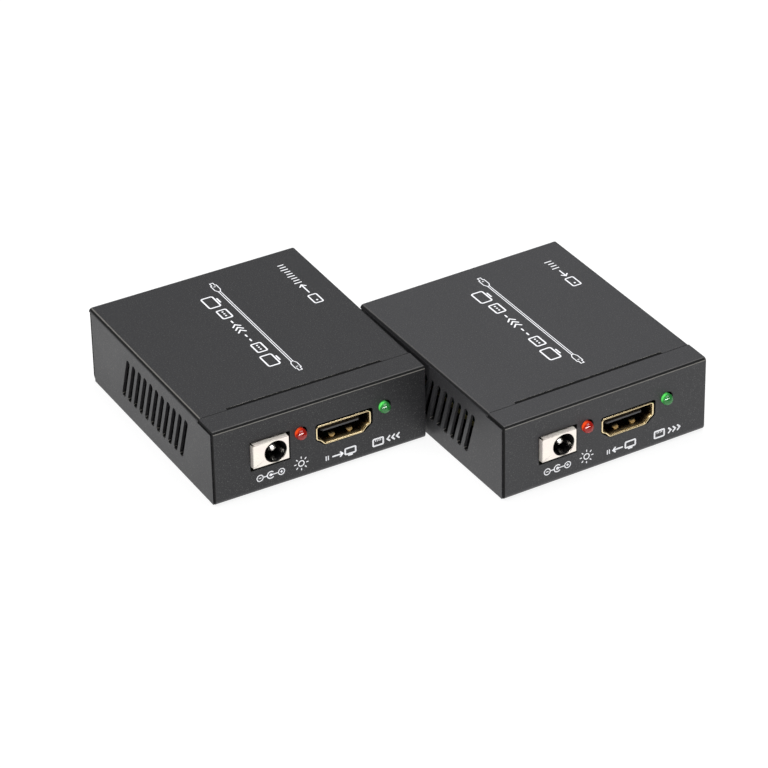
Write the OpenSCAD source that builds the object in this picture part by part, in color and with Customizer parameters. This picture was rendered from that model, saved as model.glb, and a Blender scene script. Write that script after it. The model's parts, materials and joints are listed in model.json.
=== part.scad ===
// A pair of small metal boxes that carry video over a network cable: a transmitter and a receiver.
// Each box is a folded chassis under a folded cover, with a circuit board on four spacers inside.
// In a box, x runs from its left side, y from its front panel and z from the table.

/* [Case] */
// Width of one box
case_w = 60; // [56:1:90]
// Depth of one box, from front panel to rear panel
case_d = 68.5; // [66:0.5:120]
// Height of one box
case_h = 21.6; // [21.2:0.1:32]
// Thickness of the folded sheet
sheet_t = 0.8; // [0.6:0.1:1]
// Inner radius of the cover's two long bends
cover_fold = 0.15; // [0.1:0.05:1.4]
// Inner radius of the bend between front panel and top strip
brow_fold = 0.1; // [0.1:0.05:1.4]
// Outer radius of the bends between bottom and end panels
foot_bend_r = 1.8; // [1.2:0.1:2.4]
// Depth of the chassis strip on top, behind the front panel
strip_d = 7.6; // [5:0.1:12]
// How far the end panels stay in from the cover's outer sides
panel_inset = 0.25; // [0.1:0.05:0.5]

/* [Cover] */
// Seam between the top strip and the cover
seam_gap = 0.15; // [0.1:0.05:0.4]
// Gap between an end panel and the end of a side wall
wall_end_gap = 0.35; // [0.2:0.05:0.6]
// Height of the side walls' lower edge above the table
wall_lift = 0.15; // [0.05:0.05:0.4]
// Distance from a side to the tongue that goes under the strip
tongue_side = 8.2; // [5:0.1:14]
// How far the tongue goes under the strip
tongue_reach = 3.6; // [2:0.1:5]
// Length of the step down to the tongue
joggle_run = 0.8; // [0.5:0.05:1.5]
// Gap between the tongue and the strip
tongue_gap = 0.1; // [0.05:0.05:0.3]
// Width of the relief notch at the front end of each long bend
relief_w = 0.6; // [0.3:0.1:1]
// Depth of the relief notch
relief_depth = 0.2; // [0.2:0.1:1]

/* [Vents] */
// Number of slots in each side wall
vent_count = 11; // [3:1:12]
// Width of a slot
vent_w = 1.8; // [1:0.1:2.4]
// Height of the slots' lower ends
vent_low = 5.1; // [4.8:0.1:8]
// Distance from the top of the case to the slots' upper ends
vent_drop = 4; // [3:0.1:8]
// Place of the first slot behind the front panel, at half its height
vent_first = 16.05; // [12:0.05:20]
// Distance from slot to slot
vent_pitch = 3.215; // [2.8:0.005:4]
// Lean of the slots towards the front
vent_slant = 18; // [0:1:25]

/* [Chassis flanges] */
// Height of the flanges inside the side walls
flange_h = 4.2; // [3:0.1:4.6]
// Distance from an end panel to the end of a flange
flange_end = 4; // [3:0.1:12]
// Outer radius of the flanges' bends
flange_bend_r = 1.2; // [1:0.1:2]
// Gap between a flange and the side wall next to it
flange_gap = 0.1; // [0.05:0.05:0.3]

/* [Cover screws] */
// Diameter of the screws' threaded part
screw_d = 2.9; // [2.4:0.1:3.2]
// Length of the screws under the head
screw_len = 5; // [4:0.5:8]
// Diameter of the screws' heads
screw_head_d = 5.6; // [5:0.1:6.5]
// Height of the screws' heads
screw_head_h = 1.6; // [1:0.1:2]
// Distance from a side to a cover screw
screw_side = 7.5; // [6.5:0.1:12]
// Distance from the top of the case to the cover screws
screw_drop = 5.6; // [4.8:0.1:7]
// Width of the brackets under the cover that take these screws
bracket_w = 8; // [7:0.1:10]
// Length of the brackets' welded legs
bracket_leg = 6.5; // [4:0.1:10]
// Length of the brackets' hanging legs
bracket_drop = 8.3; // [8:0.1:9]

/* [Circuit board] */
// Width of the transmitter's board
transmitter_board_w = 43.2; // [42:0.1:50]
// Width of the receiver's board
receiver_board_w = 47.1; // [42:0.1:50]
// Thickness of the boards
board_t = 1.6; // [1:0.1:2]
// Gap between the front panel and the board
board_gap = 0.8; // [0.4:0.1:1.5]
// Gap between the rear panel and the board
board_rear_gap = 3.6; // [2:0.1:4]
// Width of the spacers across flats
spacer_w = 5; // [4.5:0.1:6]
// Distance from the spacers' middles to the sides of the narrower board
spacer_side = 3.6; // [3.2:0.1:5]
// Distance from the board's front edge to the front spacers
spacer_front = 17; // [15:0.5:22]
// Distance from the board's rear edge to the rear spacers
spacer_rear = 4; // [3.4:0.1:8]

/* [Power socket] */
// Distance from the front panel's middle to the socket's left side
jack_left = 19.7; // [18:0.1:20.4]
// Width of the socket
jack_w = 10.1; // [9.6:0.1:11]
// Height of the socket
jack_h = 7.05; // [7:0.05:8]
// Depth of the socket
jack_d = 13.2; // [12:0.1:15]
// How far the socket stands out of the front panel
jack_proud = 1.2; // [0.5:0.1:2]
// Thickness of the socket's bright steel shell
jack_shell_t = 0.35; // [0.2:0.05:0.5]
// Distance from the socket's left side to its bore
jack_bore_x = 6.35; // [6:0.05:6.6]
// Height of the bore above the board
jack_bore_z = 3.5; // [3.4:0.05:3.6]
// Diameter of the bore
jack_bore_d = 6; // [5.6:0.1:6.2]
// Depth of the bore
jack_bore_depth = 9.5; // [8:0.1:10.5]
// Diameter of the centre pin
jack_pin_d = 2; // [1.6:0.1:2.5]
// How far the tip of the pin stays behind the socket's face
jack_pin_recess = 1.4; // [1:0.1:2.5]

/* [Video socket] */
// How far the socket's middle is to the right of the front panel's middle
video_right = 6.35; // [4:0.05:8]
// Height of the socket's middle above the board
video_z = 3.05; // [3:0.05:3.6]
// Width of the socket's flared rim
video_rim_w = 15.6; // [15.2:0.1:16]
// Height of the socket's flared rim
video_rim_h = 6; // [5.7:0.1:6.2]
// Width of the socket's opening
video_mouth_w = 14; // [13.9:0.05:14.1]
// Height of the socket's opening
video_mouth_h = 4.6; // [4.5:0.05:4.7]
// Thickness of the socket's shell
video_shell_t = 0.3; // [0.2:0.05:0.4]
// Depth of the socket
video_d = 11.5; // [10:0.1:13]
// Depth of the flared rim
video_rim_t = 0.5; // [0.3:0.05:0.8]
// How far the rim stands out of the front panel
video_proud = 0.15; // [0:0.05:0.6]

/* [Signal lights] */
// Diameter of the lights
light_d = 3; // [2.6:0.1:3.2]
// Height of the lights' middles above the board
light_z = 5.6; // [5:0.1:6.5]
// How far the power light is to the left of the front panel's middle
power_light_left = 5.8; // [5:0.1:6.6]
// How far the signal light is to the right of the front panel's middle
signal_light_right = 17.9; // [16:0.05:19]
// How far the lights stand out of the front panel
light_proud = 1.9; // [0.5:0.1:2]
// Length of a light's body
light_len = 5.3; // [4.5:0.1:6]

/* [Network socket] */
// How far the network socket is to the right of the rear panel's middle, seen from the front
network_right = 0; // [-2:0.5:2]
// Width of the network socket
network_w = 15.9; // [15.5:0.1:16.5]
// Height of the network socket
network_h = 11.5; // [11.2:0.1:12]
// Depth of the network socket
network_d = 15.5; // [14:0.1:18]
// Gap between the network socket and the cover's roof
network_roof_gap = 1.2; // [0.5:0.1:1.8]
// How far the network socket stands out of the rear panel
network_proud = 0.6; // [0.2:0.1:1]
// Thickness of the network socket's shield
network_shell_t = 0.3; // [0.2:0.05:0.4]

/* [Pair] */
// Least gap between the two boxes
pair_gap = 0.43; // [0.3:0.01:5]
// Place of the receiver's front left corner in front of the transmitter's
receiver_y = 34.25; // [0:0.25:60]
// Turn of the receiver, counted anticlockwise from above
receiver_turn = 1.52; // [0:0.02:1.52]

/* [Hidden] */
$fn = 48;
// How far every cut runs past the face that it opens
overrun = 1;

// Heights and places that follow from the case
cover_bend_r = sheet_t + cover_fold;
brow_bend_r = sheet_t + brow_fold;
roof_under = case_h - sheet_t;
board_top = roof_under - network_roof_gap - network_h;
spacer_h = board_top - board_t - sheet_t;
board_front = sheet_t + board_gap;
board_rear = case_d - sheet_t - board_rear_gap;
board_d = board_rear - board_front;
wall_front = sheet_t + wall_end_gap;
wall_rear = case_d - wall_front;
roof_front = strip_d + seam_gap;
wall_room = sheet_t + flange_gap;
// The rear panel stops a little under the roof and the cover's bends
rear_panel_gap = 0.15;
vent_high = case_h - vent_drop;
screw_z = case_h - screw_drop;
jack_x = case_w / 2 - jack_left;
video_x = case_w / 2 + video_right;
power_light_x = case_w / 2 - power_light_left;
signal_light_x = case_w / 2 + signal_light_right;
network_x = case_w / 2 + network_right;
network_front = case_d + network_proud;
network_inner = network_front - network_d;

// Radius of the power sockets' front and upper edges
jack_edge_r = 0.6;

// Place of the receiver's front left corner to the right of the transmitter's
receiver_x = case_w + pair_gap + case_d * sin(receiver_turn);
// Middle of the box that the pair fills, which is the origin; in front it ends at the rounded edge of
// the receiver's power socket
pair_x = (receiver_x + case_w * cos(receiver_turn) - wall_front * sin(receiver_turn)) / 2;
pair_front = -receiver_y + (jack_x + jack_edge_r) * sin(receiver_turn)
    - (jack_proud - jack_edge_r) * cos(receiver_turn) - jack_edge_r;
pair_rear = case_d + screw_head_h;
pair_y = (pair_front + pair_rear) / 2;

// Cover's step down to its tongue
tongue_drop = sheet_t + tongue_gap;
joggle_lean = atan(tongue_drop / joggle_run);
joggle_shift = sheet_t * tan(joggle_lean / 2);
joggle_rear = roof_front + joggle_run;
joggle_overlap = 1.5;

// Cut-outs round the sockets: how far each edge stands off, as left, right, low and high
jack_cut = [0.2, 0.9, 1, 0.3];
video_cut = [0.15, 0.55, 0.15, 0.45];
light_cut_d = light_d + 0.5;
light_cut_shift = [0.2, 0.15];
network_cut = 0.3;

// Outline of the video socket: shares of its width and height where the lower corners are cut
video_slant_w_share = 0.16;
video_slant_h_share = 0.33;
video_corner_r = 0.7;
video_rear_t = 1;
video_finger_w = 1.7;
video_finger_len = 6;
video_finger_x = 2.5;
video_finger_rise = 0.75;
video_finger_gap = 0.35;
video_leg_w = 1.2;
video_leg_places = [2.5, 9];
video_tongue_w = 10.9;
video_tongue_t = 1;
video_tongue_z = 0.2;
video_tongue_recess = 1.7;
video_pin_pitch = 1;
video_pin_w = 0.45;
video_pin_t = 0.1;
video_pin_recess = 0.5;
video_tail_reach = 1.2;
video_pin_counts = [9, 10];

// Power socket: its rear contacts and the springs round its bore
jack_fit = 0.05;
jack_spring_angles = [-27, -93];
jack_spring_w = 1;
jack_spring_t = 0.45;
jack_spring_len = 6.5;
jack_spring_recess = 0.5;
jack_shank_d = 1.5;
jack_back_t = 1;
jack_tail_w = 2.2;
jack_tail_t = 0.4;
jack_tail_len = 1.5;

// Lights: the collar at their base and their two bent leads
light_collar_d = 3.6;
light_collar_t = 0.8;
light_lead_w = 0.5;
light_lead_pitch = 1.27;
light_lead_run = 1.6;

// Network socket: its cavity, latch slot and eight contacts
network_mouth_w = 11.8;
network_mouth_h = 6.9;
network_mouth_z = 2.9;
network_mouth_d = 11;
network_latch_w = 6;
network_latch_h = 1.4;
network_pin_count = 8;
network_pin_pitch = 1.02;
network_pin_w = 0.45;
network_pin_t = 0.3;
network_pin_reach = 8;
network_pin_lean = 22;
network_fit = 0.05;
network_shelf = 0.25;

// Screws: their cross recess, and the room round them
screw_fit = 0.05;
screw_hole_gap = 0.15;
screw_cross_w = 0.7;
screw_cross_share = 0.55;
screw_cross_depth = 0.9;
board_screw_len = board_t + spacer_h * 2 / 3;
board_screw_head_h = 1.4;
shank_d = 4.2;

// Board's rounded corners, and the parts on it. The parts stand in a front row, which is counted from
// the board's front edge, and a rear row just before the network socket. Each x is counted to the
// right from the middle of the case.
board_corner_r = 1;
front_row_d = 17.5;
rear_row_gap = 0.9;
front_row_gap = 0.7;
main_chip_w = 14;
main_chip_h = 1.4;
main_chip_x = -9.6;
video_chip_w = 8;
video_chip_h = 0.9;
transformer_size = [16, 12.6, 5.8];
regulator_size = [6.6, 6.1, 2.3];
inductor_size = [7.3, 7.3, 4.5];
inductor_x = -10.35;
inductor_corner_share = 1.25;
capacitor_d = 5;
capacitor_h = 5.4;
capacitor_gap = 0.7;
capacitor_setback = 2.1;
capacitor_foot_share = 1.05;
capacitor_foot_h_share = 0.11;
crystal_size = [3.8, 8, 3.5];
crystal_x = 17.9;
crystal_front = 9.4;
lead_w = 0.3;
lead_t = 0.15;
lead_reach = 1;
lead_pitch = 0.8;
chip_stand = 0.1;
transformer_lead_pitch = 1.27;
small_part_size = [0.8, 1.6, 0.5];
small_part_gap = 0.9;
small_part_count = 6;
small_part_pitch = 2.4;
front_row = board_front + front_row_d;
rear_row = network_inner - rear_row_gap - main_chip_w / 2 - lead_reach;
regulator_x = inductor_x + inductor_size[0] / 2 + front_row_gap + regulator_size[0] / 2;
video_chip_x = regulator_x + regulator_size[0] / 2 + front_row_gap + lead_reach + video_chip_w / 2;
// Columns of small parts run on both sides of the main chip and to the right of the transformer
column_room = lead_reach + small_part_gap + small_part_size[0] / 2;
main_chip_right = main_chip_x + main_chip_w / 2 + column_room;
transformer_x = main_chip_right + column_room + transformer_size[0] / 2;
small_part_columns = [
    main_chip_x - main_chip_w / 2 - column_room,
    main_chip_right,
    transformer_x + transformer_size[0] / 2 + column_room,
];

// Colours
coat_black = [0.16, 0.16, 0.17];
steel = [0.75, 0.75, 0.76];
gold = [0.9, 0.75, 0.4];
bright_tin = [0.95, 0.92, 0.86];
board_green = [0.05, 0.25, 0.14];
black_plastic = [0.06, 0.06, 0.065];
lens_red = [0.8, 0.12, 0.08];
lens_green = [0.2, 0.75, 0.3];

// Points of an arc round a centre, from one angle to another
function arc(centre, r, from, to, steps = 4) =
    [for (i = [0:steps]) let (angle = from + (to - from) * i / steps) centre + r * [cos(angle), sin(angle)]];

// Outline with square upper corners and slanted lower ones, all rounded, round its own middle
function socket_outline(w, h, r) =
    let (cut_w = w * video_slant_w_share, cut_h = h * video_slant_h_share, lean = atan(cut_h / cut_w),
         bite = r * tan(lean / 2), side_bite = r * tan((90 - lean) / 2))
    concat(
        arc([w / 2 - r, h / 2 - r], r, 0, 90),
        arc([-w / 2 + r, h / 2 - r], r, 90, 180),
        arc([-w / 2 + r, -h / 2 + cut_h + side_bite], r, 180, 270 - lean, 2),
        arc([-w / 2 + cut_w + bite, -h / 2 + r], r, 270 - lean, 270, 2),
        arc([w / 2 - cut_w - bite, -h / 2 + r], r, 270, 270 + lean, 2),
        arc([w / 2 - r, -h / 2 + cut_h + side_bite], r, 270 + lean, 360, 2)
    );

// One of the two boxes in its place
module transmitter() {
    translate([-pair_x, -pair_y, 0]) children();
}

module receiver() {
    translate([receiver_x - pair_x, -receiver_y - pair_y, 0]) rotate([0, 0, receiver_turn]) children();
}

// The children, and the same again mirrored to the right half of the box
module both_sides() {
    children();
    translate([case_w, 0, 0]) mirror([1, 0, 0]) children();
}

// A flat outline in y and z, drawn out along x from x0 to x1
module along_x(x0, x1) {
    translate([x0, 0, 0]) rotate([90, 0, 90]) linear_extrude(x1 - x0) children();
}

// A flat outline in x and z, drawn out along y from y0 to y1
module along_y(y0, y1) {
    translate([0, y1, 0]) rotate([90, 0, 0]) linear_extrude(y1 - y0) children();
}

// Quarter of a ring: the section of a bent sheet, whose outside faces down and left
module bend_section(r, t) {
    difference() {
        intersection() {
            circle(r);
            translate([-r, -r]) square(r);
        }
        circle(r - t);
    }
}

// Chassis seen from the side: bottom, front panel, top strip and rear panel in one folded sheet
module chassis_section() {
    translate([foot_bend_r, 0]) square([case_d - 2 * foot_bend_r, sheet_t]);
    translate([foot_bend_r, foot_bend_r]) bend_section(foot_bend_r, sheet_t);
    translate([0, foot_bend_r]) square([sheet_t, case_h - foot_bend_r - brow_bend_r]);
    translate([brow_bend_r, case_h - brow_bend_r]) mirror([0, 1]) bend_section(brow_bend_r, sheet_t);
    translate([brow_bend_r, roof_under]) square([strip_d - brow_bend_r, sheet_t]);
    translate([case_d - foot_bend_r, foot_bend_r]) mirror([1, 0]) bend_section(foot_bend_r, sheet_t);
    translate([case_d - sheet_t, foot_bend_r])
        square([sheet_t, roof_under - rear_panel_gap - foot_bend_r]);
}

// Flange folded up from the bottom, just inside the left side wall
module chassis_flange() {
    along_y(flange_end, case_d - flange_end) {
        translate([wall_room + flange_bend_r, flange_bend_r]) bend_section(flange_bend_r, sheet_t);
        translate([wall_room, flange_bend_r]) square([sheet_t, flange_h - flange_bend_r]);
    }
}

module front_cutouts() {
    translate([jack_x - jack_cut[0], -overrun, board_top - jack_cut[2]])
        cube([jack_w + jack_cut[0] + jack_cut[1], sheet_t + 2 * overrun, jack_h + jack_cut[2] + jack_cut[3]]);
    translate([video_x + (video_cut[1] - video_cut[0]) / 2, 0,
               board_top + video_z + (video_cut[3] - video_cut[2]) / 2])
        along_y(-overrun, sheet_t + overrun)
            polygon(socket_outline(video_rim_w + video_cut[0] + video_cut[1],
                                   video_rim_h + video_cut[2] + video_cut[3], video_corner_r));
    for (x = [power_light_x, signal_light_x])
        translate([x + light_cut_shift[0], sheet_t + overrun, board_top + light_z + light_cut_shift[1]])
            rotate([90, 0, 0]) cylinder(h = sheet_t + 2 * overrun, d = light_cut_d);
}

module rear_cutouts() {
    translate([network_x - network_w / 2 - network_cut, case_d - sheet_t - overrun, board_top - network_cut])
        cube([network_w + 2 * network_cut, sheet_t + 2 * overrun, network_h + 2 * network_cut]);
    both_sides()
        translate([screw_side, case_d + overrun, screw_z])
            rotate([90, 0, 0]) cylinder(h = sheet_t + 2 * overrun, d = screw_d + 2 * screw_hole_gap);
}

// Places of the four spacers, the same in both boxes
module at_spacers() {
    inset = (case_w - transmitter_board_w) / 2 + spacer_side;
    for (x = [inset, case_w - inset], y = [board_front + spacer_front, board_rear - spacer_rear])
        translate([x, y, 0]) children();
}

module chassis() {
    flange_len = case_d - 2 * flange_end;
    color(coat_black) {
        difference() {
            along_x(panel_inset, case_w - panel_inset) chassis_section();
            both_sides() {
                translate([-overrun, sheet_t, -overrun])
                    cube([wall_room + overrun, case_d - 2 * sheet_t, case_h - brow_bend_r + overrun]);
                translate([-overrun, flange_end, -overrun])
                    cube([wall_room + flange_bend_r + overrun, flange_len, sheet_t + 2 * overrun]);
                translate([-overrun, wall_rear, case_h - cover_bend_r - rear_panel_gap])
                    cube([cover_bend_r + overrun, case_d - wall_rear + overrun, cover_bend_r]);
            }
            front_cutouts();
            rear_cutouts();
            at_spacers() translate([0, 0, -overrun])
                cylinder(h = sheet_t + 2 * overrun, d = shank_d + 2 * screw_fit);
        }
        both_sides() chassis_flange();
    }
}

// Roof of the cover and its two long bends, seen from the front
module roof_section() {
    translate([cover_bend_r, roof_under]) square([case_w - 2 * cover_bend_r, sheet_t]);
    for (side = [0, 1])
        translate([side * case_w, 0]) mirror([side, 0]) translate([cover_bend_r, case_h - cover_bend_r])
            mirror([0, 1]) bend_section(cover_bend_r, sheet_t);
}

// The same with the two side walls
module cover_section() {
    roof_section();
    for (side = [0, 1])
        translate([side * case_w, 0]) mirror([side, 0])
            translate([0, wall_lift]) square([sheet_t, case_h - cover_bend_r - wall_lift]);
}

// Front edge of the roof: it steps down, and its tongue lies under the strip
module tongue_section() {
    polygon([
        [joggle_rear + joggle_overlap, case_h],
        [joggle_rear, case_h],
        [roof_front, case_h - tongue_drop],
        [strip_d - tongue_reach, case_h - tongue_drop],
        [strip_d - tongue_reach, roof_under - tongue_drop],
        [roof_front + joggle_shift, roof_under - tongue_drop],
        [joggle_rear + joggle_shift, roof_under],
        [joggle_rear + joggle_overlap, roof_under],
    ]);
}

module vent_slot() {
    span = (vent_high - vent_low - vent_w) / cos(vent_slant);
    rotate([vent_slant, 0, 0]) {
        translate([-overrun, -vent_w / 2, -span / 2]) cube([sheet_t + 2 * overrun, vent_w, span]);
        for (end = [-1, 1])
            translate([-overrun, 0, end * span / 2])
                rotate([0, 90, 0]) cylinder(h = sheet_t + 2 * overrun, d = vent_w);
    }
}

// Bracket welded under the roof, which takes a cover screw through the rear panel
module cover_bracket() {
    rear = case_d - sheet_t - flange_gap;
    difference() {
        translate([screw_side - bracket_w / 2, 0, 0]) {
            translate([0, rear - bracket_leg, roof_under - sheet_t]) cube([bracket_w, bracket_leg, sheet_t]);
            translate([0, rear - sheet_t, roof_under - bracket_drop]) cube([bracket_w, sheet_t, bracket_drop]);
        }
        translate([screw_side, rear + overrun, screw_z])
            rotate([90, 0, 0]) cylinder(h = sheet_t + 2 * overrun, d = screw_d + 2 * screw_fit);
    }
}

module cover() {
    color(coat_black) {
        difference() {
            along_y(roof_front, wall_rear) cover_section();
            translate([tongue_side, roof_front - overrun, roof_under - overrun])
                cube([case_w - 2 * tongue_side, joggle_run + joggle_overlap + overrun, sheet_t + 2 * overrun]);
            both_sides() {
                translate([-overrun, roof_front - overrun, case_h - cover_bend_r - relief_depth])
                    cube([sheet_t + 2 * overrun, relief_w + overrun, relief_depth]);
                for (i = [0:vent_count - 1])
                    translate([0, vent_first + i * vent_pitch, (vent_low + vent_high) / 2]) vent_slot();
            }
        }
        along_y(wall_rear, case_d) roof_section();
        along_x(tongue_side, case_w - tongue_side) tongue_section();
        both_sides() {
            translate([0, wall_front, wall_lift])
                cube([sheet_t, roof_front - wall_front, case_h - cover_bend_r - relief_depth - wall_lift]);
            cover_bracket();
        }
    }
}

// Screw with a domed head and a cross recess, standing head up on the seat
module screw(len, head_h) {
    dome_r = (pow(screw_head_d / 2, 2) + pow(head_h, 2)) / (2 * head_h);
    cross_len = screw_head_d * screw_cross_share;
    difference() {
        union() {
            intersection() {
                translate([0, 0, head_h - dome_r]) sphere(dome_r);
                cylinder(h = head_h, d = screw_head_d);
            }
            translate([0, 0, -len]) cylinder(h = len, d = screw_d);
        }
        for (turn = [0, 90])
            rotate([0, 0, turn])
                translate([-cross_len / 2, -screw_cross_w / 2, head_h - screw_cross_depth])
                    cube([cross_len, screw_cross_w, screw_cross_depth + overrun]);
    }
}

module cover_screws() {
    color(steel) both_sides()
        translate([screw_side, case_d, screw_z]) rotate([-90, 0, 0]) screw(screw_len, screw_head_h);
}

module board_spacers() {
    color(steel) at_spacers() difference() {
        union() {
            translate([0, 0, sheet_t]) rotate([0, 0, 30])
                cylinder(h = spacer_h, d = spacer_w / cos(30), $fn = 6);
            cylinder(h = sheet_t, d = shank_d);
        }
        translate([0, 0, sheet_t]) cylinder(h = spacer_h + overrun, d = screw_d + 2 * screw_fit);
    }
}

module board_screws() {
    color(steel) at_spacers() translate([0, 0, board_top]) screw(board_screw_len, board_screw_head_h);
}

module circuit_board(board_w) {
    x0 = (case_w - board_w) / 2;
    r = board_corner_r;
    color(board_green) difference() {
        translate([x0, board_front, board_top - board_t]) {
            translate([r, 0, 0]) cube([board_w - 2 * r, board_d, board_t]);
            translate([0, r, 0]) cube([board_w, board_d - 2 * r, board_t]);
            for (x = [r, board_w - r], y = [r, board_d - r])
                translate([x, y, 0]) cylinder(h = board_t, r = r);
        }
        at_spacers() translate([0, 0, board_top - board_t - overrun])
            cylinder(h = board_t + 2 * overrun, d = screw_d + 2 * screw_hole_gap);
    }
}

// Place of the power socket's bore, with y running back from the socket's face
module at_jack_bore() {
    translate([jack_x + jack_bore_x, -jack_proud, board_top + jack_bore_z]) children();
}

// Block of the power socket, whose front and upper edges are rounded
module jack_block() {
    w = jack_w;
    r = jack_edge_r;
    translate([jack_x, -jack_proud, board_top]) {
        translate([0, r, 0]) cube([w, jack_d - r, jack_h - r]);
        translate([r, 0, 0]) cube([w - 2 * r, jack_d, jack_h - r]);
        translate([r, r, 0]) cube([w - 2 * r, jack_d - r, jack_h]);
        for (x = [r, w - r]) {
            translate([x, r, 0]) cylinder(h = jack_h - r, r = r);
            translate([x, r, jack_h - r]) rotate([-90, 0, 0]) cylinder(h = jack_d - r, r = r);
            translate([x, r, jack_h - r]) sphere(r);
        }
        translate([r, r, jack_h - r]) rotate([0, 90, 0]) cylinder(h = w - 2 * r, r = r);
    }
}

module power_socket_shell() {
    color(bright_tin) difference() {
        jack_block();
        translate([jack_x + jack_shell_t, -jack_proud + jack_shell_t, board_top - overrun])
            cube([jack_w - 2 * jack_shell_t, jack_d, jack_h - jack_shell_t + overrun]);
        at_jack_bore() rotate([-90, 0, 0]) translate([0, 0, -overrun])
            cylinder(h = jack_shell_t + 2 * overrun, d = jack_bore_d + 2 * jack_fit);
    }
}

module power_socket_body() {
    inset = jack_shell_t + jack_fit;
    color(black_plastic) difference() {
        translate([jack_x + inset, -jack_proud + inset, board_top])
            cube([jack_w - 2 * inset, jack_d - inset, jack_h - inset]);
        at_jack_bore() rotate([-90, 0, 0]) {
            translate([0, 0, inset - overrun])
                cylinder(h = jack_bore_depth - inset + overrun, d = jack_bore_d);
            cylinder(h = jack_d - jack_back_t, d = jack_shank_d + 2 * jack_fit);
        }
    }
}

module power_socket_pin() {
    nose = jack_pin_d / 2;
    color(steel) at_jack_bore() rotate([-90, 0, 0]) translate([0, 0, jack_pin_recess + nose]) {
        sphere(nose);
        cylinder(h = jack_bore_depth - jack_pin_recess - nose, d = jack_pin_d);
        cylinder(h = jack_d - jack_back_t - jack_pin_recess - nose, d = jack_shank_d);
    }
}

// Two leaf springs along the bore that press on the plug, and the tail behind the socket
module power_socket_springs() {
    front = jack_shell_t + jack_spring_recess;
    color(steel) {
        at_jack_bore() for (angle = jack_spring_angles)
            rotate([0, -angle, 0])
                translate([jack_bore_d / 2 - jack_spring_t, front, -jack_spring_w / 2])
                    cube([jack_spring_t - jack_fit, jack_spring_len, jack_spring_w]);
        translate([jack_x + (jack_w - jack_tail_w) / 2, jack_d - jack_proud, board_top])
            cube([jack_tail_w, jack_tail_len, jack_tail_t]);
    }
}

// Lens of a signal light: a domed cylinder with a collar at its base
module light_lens(x) {
    translate([x, light_d / 2 - light_proud, board_top + light_z]) rotate([-90, 0, 0]) {
        sphere(light_d / 2);
        cylinder(h = light_len - light_d / 2, d = light_d);
        translate([0, 0, light_len - light_d / 2 - light_collar_t])
            cylinder(h = light_collar_t, d = light_collar_d);
    }
}

// Leads of a signal light: straight back from the lens, then down to the board
module light_leads(x) {
    rear = light_len - light_proud;
    color(steel) for (side = [-1, 1])
        translate([x + side * light_lead_pitch - light_lead_w / 2, 0, 0]) {
            translate([0, rear, board_top + light_z - light_lead_w / 2])
                cube([light_lead_w, light_lead_run, light_lead_w]);
            translate([0, rear + light_lead_run - light_lead_w, board_top])
                cube([light_lead_w, light_lead_w, light_z]);
        }
}

module power_light_lens() {
    color(lens_red) light_lens(power_light_x);
}

module power_light_leads() {
    light_leads(power_light_x);
}

module signal_light_lens() {
    color(lens_green) light_lens(signal_light_x);
}

module signal_light_leads() {
    light_leads(signal_light_x);
}

// Place of the video socket's middle, with y running back from the front panel
module at_video() {
    translate([video_x, 0, board_top + video_z]) children();
}

// Spring finger of the video socket, cut free from the shell's lower wall and bent up into it
module video_finger() {
    floor_z = -video_mouth_h / 2 - video_shell_t;
    lean = asin(video_finger_rise / video_finger_len);
    translate([-video_finger_w / 2, video_d - video_finger_len - video_rear_t, floor_z])
        translate([0, video_finger_len, 0]) rotate([-lean, 0, 0])
            translate([0, -video_finger_len, 0]) cube([video_finger_w, video_finger_len, video_shell_t]);
}

module video_socket_shell() {
    outer_w = video_mouth_w + 2 * video_shell_t;
    outer_h = video_mouth_h + 2 * video_shell_t;
    window_w = video_finger_w + 2 * video_finger_gap;
    window_front = video_d - video_finger_len - video_rear_t - video_finger_gap;
    front = -video_proud;
    color(gold) at_video() {
        difference() {
            union() {
                along_y(front, video_d) polygon(socket_outline(outer_w, outer_h, video_corner_r));
                along_y(front, front + video_rim_t)
                    polygon(socket_outline(video_rim_w, video_rim_h, video_corner_r));
            }
            along_y(front - overrun, video_d + overrun)
                polygon(socket_outline(video_mouth_w, video_mouth_h, video_corner_r - video_shell_t));
            for (side = [-1, 1])
                translate([side * video_finger_x - window_w / 2, window_front, -outer_h / 2 - overrun])
                    cube([window_w, video_finger_len + video_finger_gap, video_shell_t + 2 * overrun]);
        }
        for (side = [-1, 1]) {
            translate([side * video_finger_x, 0, 0]) video_finger();
            for (y = video_leg_places)
                translate([side * (video_mouth_w / 2 + video_shell_t / 2) - video_shell_t / 2, y, -video_z])
                    cube([video_shell_t, video_leg_w, video_z]);
        }
    }
}

// Black block at the rear of the video socket, with the thin tongue that carries the contacts
module video_socket_tongue() {
    window_w = video_finger_w + 2 * video_finger_gap;
    color(black_plastic) at_video() {
        along_y(video_d - video_rear_t, video_d)
            difference() {
                polygon(socket_outline(video_mouth_w - 2 * jack_fit, video_mouth_h - 2 * jack_fit,
                                       video_corner_r - video_shell_t));
                for (side = [-1, 1])
                    translate([side * video_finger_x - window_w / 2, -video_mouth_h / 2])
                        square([window_w, video_shell_t]);
            }
        translate([-video_tongue_w / 2, video_tongue_recess, video_tongue_z - video_tongue_t / 2])
            cube([video_tongue_w, video_d - video_rear_t - video_tongue_recess, video_tongue_t]);
    }
}

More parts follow.
